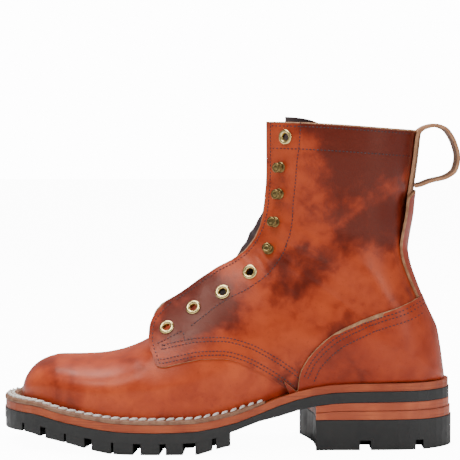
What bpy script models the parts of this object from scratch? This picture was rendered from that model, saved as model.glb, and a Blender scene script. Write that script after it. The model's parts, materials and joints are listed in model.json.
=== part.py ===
# A left lace-up ankle boot, unlaced, standing empty on its lugged sole.
# Metres, +Z up, toe towards -X, the outer side of the foot towards -Y.
# The origin is on the floor under the middle of the heel.
import math

import bmesh
import bpy
import numpy as np

# Driving sizes
OUTSOLE_LENGTH = 0.311
HEEL_CENTRE = 0.264  # from the toe tip back to the origin
BALL_WIDTH = 0.112  # outsole, at the ball
SHAFT_HEIGHT = 0.223  # floor to the front of the collar
FOREFOOT_THICKNESS = 0.0145  # floor to the top of the outsole at the ball
HEEL_HEIGHT = 0.040  # floor to the top of the outsole at the heel
TOE_SPRING = 0.0115
BASE_THICKNESS = 0.007  # outsole between its lugs
WAIST_THINNING = 0.0022
LUG_STEP = 0.0005  # the lugs stand inside the edge of the outsole
MIDSOLE_THICKNESS = 0.0053
MIDSOLE_STEP = 0.0006
WELT_THICKNESS = 0.0028
WELT_STEP = 0.0003
WELT_END = 0.585
WELT_RELIEF = 0.0019  # its inner edge leans back from the bulging vamp
INSOLE_THICKNESS = 0.003
TOP_LIFT_HEIGHT = 0.0205
TOP_LIFT_FLARE = 0.0015
LIFT_COUNT = 2
BREAST_OUTER = 0.696  # shares of the outsole length
BREAST_INNER = 0.668
BREAST_HOLLOW = 0.004
LEATHER_WALL = 0.0018
LINED_WALL = 0.0009  # the quarter's wall inside its own line
OVERLAY = 0.0016  # the quarter stands this far out of the vamp
COUNTER_THICKNESS = 0.0018
BACKSTAY_THICKNESS = 0.0015
BACKSTAY_HALF_WIDTH = 0.0165
BACKSTAY_TOP = 0.177
TONGUE_THICKNESS = 0.0022
THROAT_HALF_GAP = 0.017
STRAP_THICKNESS = 0.0026
STRAP_WIDTH = 0.025
STRAP_FOOT = 0.165
EYELET_RADIUS = 0.0051
EYELET_BORE = 0.0024
EYELET_LIP = 0.0011
EYELET_TUBE = 0.00285
HOOK_BASE_RADIUS = 0.0038
HOOK_HEAD_RADIUS = 0.0035
HOOK_POST_RADIUS = 0.0015
HOOK_REACH = 0.0058
VAMP_BULGE = 0.0025
TOE_SWING = 0.008
GAP = 0.0003
SEAT_GAP = 0.0006  # under an eyelet or hook, which is flat on a curved wall
FOOT_GAP = 0.0005  # under the upper, whose lower edge is straight between its sections

# Outline of the outsole: along as a share of its length, the rest as shares of the ball width
OUTLINE = (
    # along, outer side, inner side
    (0.00, 0.071, 0.071),
    (0.02, -0.152, 0.268),
    (0.05, -0.259, 0.348),
    (0.10, -0.357, 0.411),
    (0.16, -0.429, 0.446),
    (0.25, -0.491, 0.473),
    (0.33, -0.518, 0.473),
    (0.42, -0.509, 0.438),
    (0.50, -0.455, 0.366),
    (0.58, -0.393, 0.304),
    (0.66, -0.344, 0.286),
    (0.72, -0.326, 0.295),
    (0.80, -0.321, 0.313),
    (0.87, -0.313, 0.313),
    (0.93, -0.277, 0.277),
    (0.97, -0.196, 0.196),
    (1.00, 0.000, 0.000),
)
# Top of the outsole: spring is a share of the toe spring, heel of the rise to the heel
TOP_LINE = (
    # along, spring, heel
    (0.000, 0.91, 0.00),
    (0.074, 0.87, 0.00),
    (0.138, 0.52, 0.00),
    (0.203, 0.23, 0.00),
    (0.270, 0.03, 0.00),
    (0.344, 0.00, 0.00),
    (0.421, 0.00, 0.02),
    (0.473, 0.00, 0.10),
    (0.508, 0.00, 0.18),
    (0.553, 0.00, 0.35),
    (0.595, 0.00, 0.55),
    (0.640, 0.00, 0.73),
    (0.682, 0.00, 0.86),
    (0.733, 0.00, 0.95),
    (0.794, 0.00, 0.98),
    (0.878, 0.00, 0.99),
    (1.000, 0.00, 1.00),
)
# Bottom of the lugs, in the same shares
TREAD_LINE = (
    (0.000, 1.00, 0.00),
    (0.058, 1.04, 0.00),
    (0.096, 0.83, 0.00),
    (0.154, 0.56, 0.00),
    (0.193, 0.31, 0.00),
    (0.222, 0.15, 0.00),
    (0.262, 0.00, 0.00),
    (0.436, 0.00, 0.00),
    (0.469, 0.00, 0.10),
    (0.512, 0.00, 0.21),
)
LUG_END = 0.509
# Where the outsole is thinner: along, share of the thinning
WAIST_LINE = ((0.0, 0.0), (0.45, 0.0), (0.52, 1.0), (0.57, 1.0), (0.62, 0.0), (1.0, 0.0))
# How far the upper's foot line stands inside the outsole: along, share of the ball width
FLANGE = ((0.0, 0.104), (0.08, 0.090), (0.20, 0.072), (0.45, 0.068), (0.62, 0.058), (0.80, 0.058), (1.0, 0.062))
# Notches in the edge of the forefoot: along, width and reach inwards as shares of the ball width
NOTCHES = (
    (0.059, 0.018, 0.22),
    (0.105, 0.037, 0.22),
    (0.154, 0.014, 0.16),
    (0.205, 0.046, 0.22),
    (0.257, 0.015, 0.16),
    (0.310, 0.046, 0.22),
    (0.365, 0.037, 0.22),
    (0.421, 0.074, 0.22),
    (0.474, 0.025, 0.16),
)
HEEL_NOTCHES = ((0.805, 0.067, 0.20), (0.925, 0.049, 0.16))
HEEL_NOTCH_HEIGHT = 0.0066
# Channels along the tread: how far inside its edge as a share of the ball width, and their widths
CHANNEL_INSET = 0.22
HEEL_CHANNEL_OFFSET = 0.10
CHANNEL_WIDTH = 0.0045
CROSS_GROOVE_WIDTH = 0.0048
GROOVE_OVERRUN = 0.004  # a notch's cutter starts this far outside the edge
# Sections of the vamp, from the toe back. Each stands on the foot line at foot and runs
# up to the ridge. Widths are shares of the ball width, and none means the foot line plus the bulge.
VAMP = (
    # foot, ridge along, ridge rise, outer, inner, equator, fullness
    (0.048, 0.048, 0.202, None, None, 0.42, 2.0),
    (0.063, 0.063, 0.233, None, None, 0.42, 2.0),
    (0.082, 0.082, 0.254, None, None, 0.42, 2.0),
    (0.104, 0.104, 0.267, None, None, 0.42, 2.1),
    (0.127, 0.127, 0.274, None, None, 0.42, 2.1),
    (0.171, 0.171, 0.275, None, None, 0.42, 2.1),
    (0.216, 0.216, 0.278, None, None, 0.42, 2.1),
    (0.261, 0.261, 0.289, None, None, 0.42, 2.1),
    (0.306, 0.306, 0.311, 0.462, 0.426, 0.42, 2.2),
    (0.329, 0.329, 0.325, 0.467, 0.424, 0.41, 2.2),
    (0.370, 0.370, 0.363, 0.466, 0.415, 0.36, 2.2),
    (0.441, 0.418, 0.415, 0.451, 0.389, 0.32, 2.3),
    (0.521, 0.450, 0.453, 0.415, 0.352, 0.31, 2.3),
    (0.601, 0.473, 0.489, 0.384, 0.330, 0.31, 2.2),
    (0.682, 0.492, 0.525, 0.357, 0.321, 0.32, 2.0),
)
VAMP_TIP = (0.040, 0.157)
# Where the vamp's flanks take the quarters' form: along, its run, and the rise up to which they do
JOIN_START, JOIN_RUN, JOIN_TOP, JOIN_RISE = 0.30, 0.05, 0.30, 0.07
# Sections of the quarters over the foot. Edge is the throat's edge, and the form closes beyond it.
QUARTER_FOOT = (
    # foot, edge along, edge rise, outer, inner, equator, fullness
    (0.305, 0.305, 0.386, 0.462, 0.426, 0.27, 1.25),
    (0.344, 0.341, 0.417, 0.468, 0.422, 0.27, 1.25),
    (0.383, 0.376, 0.448, 0.464, 0.412, 0.27, 1.25),
    (0.431, 0.415, 0.482, 0.455, 0.393, 0.27, 1.3),
    (0.489, 0.453, 0.518, 0.429, 0.357, 0.28, 1.35),
    (0.559, 0.486, 0.547, 0.402, 0.330, 0.30, 1.45),
    (0.601, 0.501, 0.559, 0.385, 0.325, 0.31, 1.52),
    (0.643, 0.514, 0.570, 0.371, 0.323, 0.32, 1.6),
    (0.690, 0.525, 0.582, 0.356, 0.321, 0.33, 1.68),
    (0.736, 0.535, 0.594, 0.344, 0.321, 0.34, 1.85),
    (0.833, 0.550, 0.617, 0.335, 0.326, 0.34, 2.0),
    (0.923, 0.559, 0.634, 0.326, 0.317, 0.33, 2.1),
    (0.955, 0.563, 0.642, 0.323, 0.314, 0.31, 2.15),
    (0.969, 0.566, 0.649, 0.319, 0.310, 0.30, 2.2),
)
# Sections of the quarters round the leg, from the end of the foot line up the back
QUARTER_LEG = (
    # back along, back rise, edge along, edge rise, outer, inner, equator, fullness
    (None, None, 0.568, 0.655, 0.317, 0.308, 0.30, 2.25),
    (0.973, 0.256, 0.571, 0.666, 0.315, 0.308, 0.30, 2.35),
    (0.968, 0.305, 0.575, 0.677, 0.313, 0.306, 0.31, 2.4),
    (0.961, 0.357, 0.578, 0.689, 0.313, 0.306, 0.33, 2.4),
    (0.945, 0.407, 0.581, 0.704, 0.313, 0.306, 0.36, 2.35),
    (0.929, 0.457, 0.584, 0.722, 0.313, 0.306, 0.39, 2.25),
    (0.916, 0.502, 0.586, 0.740, 0.311, 0.306, 0.42, 2.1),
    (0.901, 0.564, 0.588, 0.767, 0.311, 0.306, 0.45, 2.0),
    (0.895, 0.614, 0.590, 0.794, 0.317, 0.310, 0.47, 2.0),
    (0.899, 0.740, 0.592, 0.865, 0.339, 0.332, 0.48, 2.0),
    (0.912, 0.883, 0.592, 0.951, 0.366, 0.358, 0.48, 2.0),
    (0.923, 1.031, 0.592, 1.045, 0.378, 0.370, 0.48, 2.0),
)
# Side outlines: along as a share of the outsole length, rise of the shaft height
QUARTER_EDGE = (
    (0.655, 0.130), (0.636, 0.182), (0.601, 0.220), (0.567, 0.249), (0.534, 0.271), (0.489, 0.285),
    (0.447, 0.283), (0.402, 0.271), (0.360, 0.259), (0.351, 0.262), (0.346, 0.270), (0.331, 0.323),
    (0.331, 0.359), (0.338, 0.395), (0.353, 0.422), (0.370, 0.446), (0.376, 0.500), (0.450, 0.700),
    (0.530, 1.002), (0.659, 1.001), (0.746, 0.995), (0.833, 0.986), (0.918, 0.977), (1.040, 0.970),
    (1.040, 0.130),
)
VAMP_EDGE = (
    (0.000, 0.100), (0.000, 0.500), (0.462, 0.500), (0.462, 0.400), (0.600, 0.320), (0.672, 0.240),
    (0.678, 0.100),
)
COUNTER_EDGE = (
    (1.060, 0.492), (0.938, 0.466), (0.893, 0.444), (0.829, 0.417), (0.781, 0.390), (0.733, 0.357),
    (0.701, 0.321), (0.675, 0.280), (0.659, 0.235), (0.651, 0.130), (1.060, 0.130),
)
# The tongue's ridge, from under the vamp to its top: along, rise, half width as a share of the ball width
TONGUE = (
    (0.430, 0.408, 0.17), (0.460, 0.449, 0.19), (0.489, 0.503, 0.22), (0.515, 0.549, 0.25),
    (0.533, 0.588, 0.25), (0.549, 0.622, 0.25), (0.559, 0.650, 0.25), (0.569, 0.673, 0.25),
    (0.582, 0.718, 0.25), (0.595, 0.785, 0.26), (0.611, 0.874, 0.27), (0.627, 0.996, 0.28),
    (0.630, 1.018, 0.28),
)
# The loop's way after it leaves the back of the shaft: along, rise
LOOP = (
    (0.930, 0.966), (0.943, 0.984), (0.964, 0.991), (0.986, 0.982), (1.008, 0.937), (1.016, 0.892),
    (1.010, 0.853), (0.988, 0.830), (0.957, 0.819), (0.934, 0.806),
)
EYELETS = ((0.371, 0.371), (0.429, 0.431), (0.493, 0.479), (0.553, 0.540), (0.632, 0.956))
HOOKS = ((0.594, 0.610), (0.609, 0.695), (0.619, 0.782), (0.622, 0.864))


def curve(rows, column, at):
    """A smooth line through a column of a table that never overshoots its rows."""
    xs = np.array([row[0] for row in rows], float)
    ys = np.array([row[column] for row in rows], float)
    step, rise = np.diff(xs), np.diff(ys) / np.diff(xs)
    slope = np.concatenate(([rise[0]], np.zeros(len(xs) - 2), [rise[-1]]))
    for i in range(1, len(xs) - 1):
        if rise[i - 1] * rise[i] > 0:
            a, b = 2 * step[i] + step[i - 1], step[i] + 2 * step[i - 1]
            slope[i] = (a + b) / (a / rise[i - 1] + b / rise[i])
    at = np.clip(np.asarray(at, float), xs[0], xs[-1])
    i = np.clip(np.searchsorted(xs, at) - 1, 0, len(step) - 1)
    t = (at - xs[i]) / step[i]
    return (
        (1 + 2 * t) * (1 - t) ** 2 * ys[i] + t * (1 - t) ** 2 * step[i] * slope[i]
        + t * t * (3 - 2 * t) * ys[i + 1] - t * t * (1 - t) * step[i] * slope[i + 1]
    )


def along(share):
    """X of a share of the outsole length."""
    return np.asarray(share) * OUTSOLE_LENGTH - HEEL_CENTRE


def share_of(x):
    return (np.asarray(x) + HEEL_CENTRE) / OUTSOLE_LENGTH


def level(rows, x):
    """Height of a line of the sole above the floor, at x."""
    s = share_of(x)
    rise = HEEL_HEIGHT - FOREFOOT_THICKNESS
    return curve(rows, 1, s) * TOE_SPRING + curve(rows, 2, s) * rise


def outsole_top(x):
    return FOREFOOT_THICKNESS + level(TOP_LINE, x)


def outsole_under(x):
    return outsole_top(x) - BASE_THICKNESS + WAIST_THINNING * curve(WAIST_LINE, 1, share_of(x))


def midsole_top(x):
    return outsole_top(x) + GAP + MIDSOLE_THICKNESS


def foot_level(x):
    """Where the upper and the insole stand."""
    return midsole_top(x) + FOOT_GAP


def edge_points(side, inset):
    """The outline on one side, moved inwards; side 1 is outer and 2 is inner."""
    theta = np.linspace(0, math.pi, 241)
    share = (1 - np.cos(theta)) / 2
    turned = tuple((math.acos(1 - 2 * row[0]), *row[1:]) for row in OUTLINE)
    x = along(share)
    y = curve(turned, side, theta) * BALL_WIDTH
    dx, dy = np.gradient(x), np.gradient(y)
    dx[0] = dx[-1] = 0
    length = np.hypot(dx, dy)
    sign = 1 if side == 1 else -1
    inset = inset(share) if callable(inset) else inset
    return x - inset * sign * dy / length, y + inset * sign * dx / length


def reach(inset):
    """The first and last x of an inset outline, and its two edges as functions of x."""
    outer_x, outer_y = edge_points(1, inset)
    inner_x, inner_y = edge_points(2, inset)
    return (
        outer_x[0], outer_x[-1],
        lambda x: np.interp(x, outer_x, outer_y),
        lambda x: np.interp(x, inner_x, inner_y),
    )


def flange(share):
    return curve(FLANGE, 1, share) * BALL_WIDTH


def material(name, colour, roughness, metallic=0.0):
    made = bpy.data.materials.new(name)
    made.use_nodes = True
    shader = made.node_tree.nodes["Principled BSDF"]
    shader.inputs["Base Color"].default_value = (*colour, 1)
    shader.inputs["Roughness"].default_value = roughness
    shader.inputs["Metallic"].default_value = metallic
    made.diffuse_color = (*colour, 1)
    return made


def new_object(name, points, faces, look=None, smooth=True):
    """A closed mesh with its doubles merged and its faces pointing out."""
    mesh = bpy.data.meshes.new(name)
    bm = bmesh.new()
    corners = [bm.verts.new(p) for p in points]
    for face in faces:
        bm.faces.new([corners[i] for i in face])
    bmesh.ops.remove_doubles(bm, verts=bm.verts, dist=2e-5)
    bmesh.ops.dissolve_degenerate(bm, edges=bm.edges, dist=1e-6)
    bmesh.ops.recalc_face_normals(bm, faces=bm.faces)
    bm.to_mesh(mesh)
    bm.free()
    if smooth:
        mesh.shade_smooth()
        mesh.set_sharp_from_angle(angle=math.radians(35))
    made = bpy.data.objects.new(name, mesh)
    bpy.context.collection.objects.link(made)
    if look:
        mesh.materials.append(look)
    return made


def between(first, second):
    """Points and faces of the closed body between two grids of the same size."""
    rows, columns = first.shape[:2]
    points = np.concatenate((first.reshape(-1, 3), second.reshape(-1, 3)))
    count = rows * columns
    faces = []
    for i in range(rows - 1):
        for j in range(columns - 1):
            a = i * columns + j
            faces.append((a, a + 1, a + columns + 1, a + columns))
            faces.append((count + a, count + a + columns, count + a + columns + 1, count + a + 1))
    ring = [(i, 0) for i in range(rows)] + [(rows - 1, j) for j in range(1, columns)]
    ring += [(i, columns - 1) for i in range(rows - 2, -1, -1)]
    ring += [(0, j) for j in range(columns - 2, 0, -1)]
    ring = [i * columns + j for i, j in ring]
    rim = [(a, b, count + b, count + a) for a, b in zip(ring, ring[1:] + ring[:1])]
    place = np.round(points / 2e-5).astype(int)
    keys = [frozenset(tuple(place[i]) for i in face) for face in rim]
    # where two edges of the grids meet in a seam, the body needs no rim
    faces += [face for face, key in zip(rim, keys) if keys.count(key) == 1]
    return points.tolist(), faces


def plate(name, edges, low, high, look=None, stations=34, start=None, across=1, end=None):
    """A layer of the sole between two heights that vary along it."""
    first, last, outer, inner = edges
    end = last if end is None else end
    tau = (1 - np.cos(np.linspace(0, math.pi, stations))) / 2
    if start is not None:
        tau = np.sin(np.linspace(0, math.pi / 2, stations))
    if end < last:
        tau = 1 - np.cos(np.linspace(0, math.pi / 2, stations))
    c = np.linspace(0, 1, across + 1)
    front = np.full(across + 1, first) if start is None else start(c)
    x = front[None, :] + (end - front[None, :]) * tau[:, None]
    y = outer(x) + (inner(x) - outer(x)) * c[None, :]
    top = np.stack((x, y, high(x) + 0 * x), axis=-1)
    bottom = np.stack((x, y, low(x) + 0 * x), axis=-1)
    return new_object(name, *between(top, bottom), look)


def prism(name, outline, depth):
    """A cutter: an outline in side view, carried across by depth each way."""
    points = [(x, y, z) for y in (-depth, depth) for x, z in outline]
    n = len(outline)
    faces = [tuple(range(n)), tuple(range(2 * n - 1, n - 1, -1))]
    faces += [(i, i + n, (i + 1) % n + n, (i + 1) % n) for i in range(n)]
    return cutter(new_object(name, points, faces, smooth=False))


def side_outline(rows):
    return [(float(along(a)), rise * SHAFT_HEIGHT) for a, rise in rows]


def cutter(made):
    made.hide_render = True
    made.display_type = "WIRE"
    return made


def combine(target, other, operation):
    """Adds, cuts or keeps what two objects share, and leaves the target as one plain mesh."""
    step = target.modifiers.new(operation.lower(), "BOOLEAN")
    step.operation = operation
    step.object = other
    step.solver = "EXACT"
    graph = bpy.context.evaluated_depsgraph_get()
    mesh = bpy.data.meshes.new_from_object(target.evaluated_get(graph))
    target.modifiers.clear()
    old = target.data
    target.data = mesh
    bpy.data.meshes.remove(old)
    bpy.data.objects.remove(other)


def heal(made):
    """Merges the tiny edges that a cut leaves."""
    bm = bmesh.new()
    bm.from_mesh(made.data)
    bmesh.ops.triangulate(bm, faces=bm.faces)
    bmesh.ops.dissolve_degenerate(bm, edges=bm.edges, dist=5e-6)
    bm.to_mesh(made.data)
    bm.free()
    made.data.shade_smooth()
    made.data.set_sharp_from_angle(angle=math.radians(35))


FOOT_EDGES = reach(flange)


def swing(x):
    """The centre line of the toe leans to the inner side."""
    return TOE_SWING * np.clip(1 - share_of(x) / 0.42, 0, 1) ** 2


def foot_widths(x):
    """Half widths of the foot line each side of the centre line."""
    first, last, outer, inner = FOOT_EDGES
    x = np.clip(x, first, last)
    return swing(x) - outer(x), inner(x) - swing(x)


def throat_share(width, equator, fullness):
    """How far along a section, from its foot to its top, the form is as wide as the gap."""
    narrow = np.clip(THROAT_HALF_GAP / width, 0, 1) ** fullness
    return equator + (1 - equator) * (1 - narrow) ** (1 / fullness)


def vamp_rows():
    first = FOOT_EDGES[0]
    rows = [(first, foot_level(first), first, VAMP_TIP[1] * SHAFT_HEIGHT, 0, 0, 0.42, 2.0)]
    for foot, ridge, rise, outer, inner, equator, fullness in VAMP:
        x = float(along(foot))
        widths = foot_widths(x)
        if outer is None:
            pair = [w + VAMP_BULGE * min(1, w / 0.02) for w in widths]
        else:
            pair = [outer * BALL_WIDTH, inner * BALL_WIDTH]
        rows.append((x, foot_level(x), float(along(ridge)), rise * SHAFT_HEIGHT, *pair, equator, fullness))
    return np.array(rows, float)


def quarter_rows():
    rows = []
    table = [(row[0], None, *row[1:]) for row in QUARTER_FOOT] + list(QUARTER_LEG)
    for base, rise, edge, edge_rise, outer, inner, equator, fullness in table:
        x = FOOT_EDGES[1] if base is None else float(along(base))
        z = float(foot_level(x)) if rise is None else rise * SHAFT_HEIGHT
        wide = (outer + inner) / 2 * BALL_WIDTH
        part = throat_share(wide, equator, fullness)
        top_x = x + (float(along(edge)) - x) / part
        top_z = z + (edge_rise * SHAFT_HEIGHT - z) / part
        rows.append((x, z, top_x, top_z, outer * BALL_WIDTH, inner * BALL_WIDTH, equator, fullness))
    return np.array(rows, float)


class Form:
    """A form of the last: half sections that stand on the foot line or on the back line."""

    def __init__(self, rows, spacing):
        step = np.hypot(*np.diff(rows[:, :2], axis=0).T) + np.hypot(*np.diff(rows[:, 2:4], axis=0).T)
        place = np.concatenate(([0], np.cumsum(step)))
        at = [np.linspace(a, b, max(1, round((b - a) / spacing)), endpoint=False)
              for a, b in zip(place, place[1:])]
        self.at = np.concatenate((*at, [place[-1]]))
        table = [(p, *row) for p, row in zip(place, rows)]
        self.columns = np.stack([curve(table, i + 1, self.at) for i in range(8)], axis=1)
        on_foot = self.at <= place[np.argmax(rows[:, 0])] + 1e-9
        self.columns[on_foot, 1] = foot_level(self.columns[on_foot, 0])
        self.feet = np.array([foot_widths(x) for x in self.columns[:, 0]]) * on_foot[:, None]
        last = FOOT_EDGES[1]
        self.feet[self.columns[:, 0] >= last - 1e-6] = 0
        self.feet[self.columns[:, 0] <= FOOT_EDGES[0] + 1e-6] = 0

    def half(self, side, low=5, high=9):
        """Points of each half section from its foot to the ridge; side 0 is outer."""
        x, z, top_x, top_z, outer, inner, equator, fullness = self.columns.T
        wide = (outer, inner)[side]
        start = np.arccos(np.clip(self.feet[:, side] / np.maximum(wide, 1e-9), 0, 1))
        drop = equator / np.maximum(np.sin(start), 1e-6)
        below = start[:, None] * np.linspace(1, 0, low + 1)[None, :-1]
        above = math.pi / 2 * np.linspace(0, 1, high + 1)[None, :]
        power = 2 / fullness[:, None]
        q = np.concatenate((
            equator[:, None] - drop[:, None] * np.sin(below),
            equator[:, None] + (1 - equator[:, None]) * np.sin(above) ** power,
        ), axis=1)
        w = np.concatenate((
            wide[:, None] * np.cos(below),
            wide[:, None] * np.clip(np.cos(above), 0, 1) ** power,
        ), axis=1)
        w[:, -1] = 0
        px = x[:, None] + (top_x - x)[:, None] * q
        pz = z[:, None] + (top_z - z)[:, None] * q
        return np.stack((px, swing(px) + (-w, w)[side], pz), axis=-1)

    def grid(self, low=5, high=9):
        """Whole sections, from the outer foot line over the ridge to the inner one."""
        outer, inner = self.half(0, low, high), self.half(1, low, high)
        return np.concatenate((outer, inner[:, -2::-1]), axis=1)

    def cross(self, x, z, side):
        """The form's y and the section there, for a point in side view."""
        c = self.columns
        turn = (c[:, 2] - c[:, 0]) * (z - c[:, 1]) - (c[:, 3] - c[:, 1]) * (x - c[:, 0])
        i = int(np.argmax(np.sign(turn[:-1]) * np.sign(turn[1:]) <= 0))
        t = turn[i] / (turn[i] - turn[i + 1])
        row = c[i] * (1 - t) + c[i + 1] * t
        feet = self.feet[i] * (1 - t) + self.feet[i + 1] * t
        q = math.hypot(x - row[0], z - row[1]) / math.hypot(row[2] - row[0], row[3] - row[1])
        wide, equator, fullness = row[4 + side], row[6], row[7]
        if q > equator:
            w = wide * max(0, 1 - ((q - equator) / (1 - equator)) ** fullness) ** (1 / fullness)
        else:
            start = math.acos(min(1, feet[side] / wide))
            w = wide * math.sqrt(max(0, 1 - ((equator - q) * math.sin(start) / equator) ** 2))
        return float(swing(x)) + (-w, w)[side], row

    def spot(self, x, z, side, out=0.0):
        """A point on the form at a place in side view, moved outwards, and the way out."""
        d = 0.001
        here = np.array((x, self.cross(x, z, side)[0], z))
        du = np.array((2 * d, self.cross(x + d, z, side)[0] - self.cross(x - d, z, side)[0], 0))
        dv = np.array((0, self.cross(x, z + d, side)[0] - self.cross(x, z - d, side)[0], 2 * d))
        way = np.cross(du, dv)
        way /= np.linalg.norm(way)
        way = way if way[1] * (-1, 1)[side] > 0 else -way
        return here + way * out, way


def ways_out(grid):
    """Outward directions of a grid of points, level along its foot lines."""
    du, dv = np.gradient(grid, axis=0), np.gradient(grid, axis=1)
    way = np.cross(du, dv)
    for j in (0, -1):
        way[:, j, 2] = 0
    length = np.linalg.norm(way, axis=-1, keepdims=True)
    way = way / np.maximum(length, 1e-12)
    middle = grid.mean(axis=1, keepdims=True)
    if (way * (grid - middle)).sum() < 0:
        way = -way
    return way


def close_tip(way):
    """The two halves share their directions on the toe's own tip."""
    ridge = way.shape[1] // 2
    way[0] = (way[0] + way[0, ::-1] * (1, -1, 1)) / 2
    way[0, ridge] = way[0, ridge - 1] + way[1, ridge]
    way[0, :, 1] = 0
    way[0] /= np.linalg.norm(way[0], axis=-1, keepdims=True)
    return way


def close_back(grid, way):
    """The two halves share their directions along the back seam."""
    met = np.linalg.norm(grid[:, 0] - grid[:, -1], axis=-1) < 1e-5
    shared = way[:, 0] * (1, 0, 1) + way[:, -1] * (1, 0, 1)
    shared /= np.linalg.norm(shared, axis=-1, keepdims=True)
    way[met, 0] = shared[met]
    way[met, -1] = shared[met]
    return way


def shell(name, grid, way, inside, outside, look=None):
    return new_object(name, *between(grid + way * outside, grid - way * inside), look)


def make_sole(looks):
    """Outsole with its lugs, heel, midsole, welt and insole."""
    plate_edges = reach(0)
    outsole = plate("outsole", plate_edges, outsole_under, outsole_top, looks["rubber"], 34)
    lug_edges = reach(LUG_STEP)
    lugs = plate("lugs", lug_edges, lambda x: level(TREAD_LINE, x),
                 lambda x: outsole_top(x) - BASE_THICKNESS / 2, stations=24, end=float(along(LUG_END)))
    combine(lugs, groove_cutter(lug_edges), "DIFFERENCE")
    combine(outsole, lugs, "UNION")
    heal(outsole)

    top_lift = plate("heel_top_lift", reach(-TOP_LIFT_FLARE), lambda x: 0 * x,
                     lambda x: 0 * x + TOP_LIFT_HEIGHT, looks["rubber"], 16, breast, 4)
    combine(top_lift, heel_cutter(), "DIFFERENCE")
    heal(top_lift)
    for i in range(LIFT_COUNT):
        plate(f"heel_lift_{i + 1}", reach(-TOP_LIFT_FLARE * (0.6 - 0.5 * i)),
              lambda x, i=i: stack_level(x, i) + (GAP if i else 0),
              lambda x, i=i: stack_level(x, i + 1), looks["stack"], 14, breast, 4)

    plate("midsole", reach(MIDSOLE_STEP), lambda x: outsole_top(x) + GAP, midsole_top, looks["midsole"], 36)
    plate("insole", reach(lambda s: flange(s) + LEATHER_WALL + 2 * SEAT_GAP + GAP), foot_level,
          lambda x: foot_level(x) + INSOLE_THICKNESS, looks["insole"], 28)
    make_welt(looks["welt"])


def stack_level(x, count):
    """Height of the top of so many lifts, between the rubber and the outsole's seat."""
    low = TOP_LIFT_HEIGHT + GAP
    return low + (outsole_under(x) - GAP - low) * count / LIFT_COUNT


def breast(c):
    """X of the heel's front, from the outer side (0) to the inner side (1)."""
    share = BREAST_OUTER + (BREAST_INNER - BREAST_OUTER) * c
    return along(share) + BREAST_HOLLOW * np.sin(math.pi * c)


def bar(start, end, width, low, high):
    """A straight upright bar between two points of the plan."""
    a, b = np.array(start, float), np.array(end, float)
    run = (b - a) / np.linalg.norm(b - a)
    side = np.array((-run[1], run[0])) * width / 2
    plan = (a - side, b - side, b + side, a + side)
    points = [(*p, z) for z in (low, high) for p in plan]
    faces = [(3, 2, 1, 0), (4, 5, 6, 7)] + [(i, (i + 1) % 4, (i + 1) % 4 + 4, i + 4) for i in range(4)]
    return points, faces


def joined_cutter(name, bars):
    """Bars that cross, united one by one into a single closed cutter."""
    whole = None
    for i, (points, faces) in enumerate(bars):
        one = cutter(new_object(f"{name}_{i}", points, faces, smooth=False))
        if whole is None:
            whole = one
        else:
            combine(whole, one, "UNION")
    return cutter(whole)


def groove_cutter(edges):
    """Edge notches, two channels along the forefoot and cross grooves between them."""
    outer, inner = edges[2:]
    bars = []
    low, high = -0.01, FOREFOOT_THICKNESS + TOE_SPRING
    channel = CHANNEL_INSET * BALL_WIDTH
    stops = along(np.array((0.075, 0.14, 0.22, 0.31, 0.40, 0.47, LUG_END + 0.02)))
    for line, sign in ((outer, 1), (inner, -1)):
        ys = line(stops) + sign * channel
        for a, b, ya, yb in zip(stops, stops[1:], ys, ys[1:]):
            bars.append(bar((a - 0.001, ya), (b + 0.001, yb), CHANNEL_WIDTH, low, high))
        for share, width, deep in NOTCHES:
            x = float(along(share))
            y = float(line(x))
            ahead = 0.004 * (1 - share / LUG_END)
            start = (x - ahead, y - sign * GROOVE_OVERRUN)
            bars.append(bar(start, (x + ahead, y + sign * deep * BALL_WIDTH),
                            width * BALL_WIDTH, low, high))
    for share, width, _ in NOTCHES[1:8]:
        x = float(along(share)) + 0.008
        ya, yb = float(outer(x)) + channel, float(inner(x)) - channel
        bars.append(bar((x - 0.004, ya), (x + 0.004, yb), CROSS_GROOVE_WIDTH, low, high))
    return joined_cutter("grooves", bars)


def heel_cutter():
    outer, inner = reach(-TOP_LIFT_FLARE)[2:]
    bars = []
    for share, width, deep in HEEL_NOTCHES:
        x = float(along(share))
        for line, sign in ((outer, 1), (inner, -1)):
            y = float(line(x))
            bars.append(bar((x, y - sign * GROOVE_OVERRUN), (x, y + sign * deep * BALL_WIDTH),
                            width * BALL_WIDTH, -0.01, HEEL_NOTCH_HEIGHT))
    first, last = float(along(BREAST_OUTER)) + 0.014, float(along(0.955))
    channel = HEEL_CHANNEL_OFFSET * BALL_WIDTH
    for y in (-channel, channel):
        bars.append(bar((first, y), (last, y * 0.8), CHANNEL_WIDTH, -0.01, HEEL_NOTCH_HEIGHT - 0.001))
    return joined_cutter("heel_grooves", bars)


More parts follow.
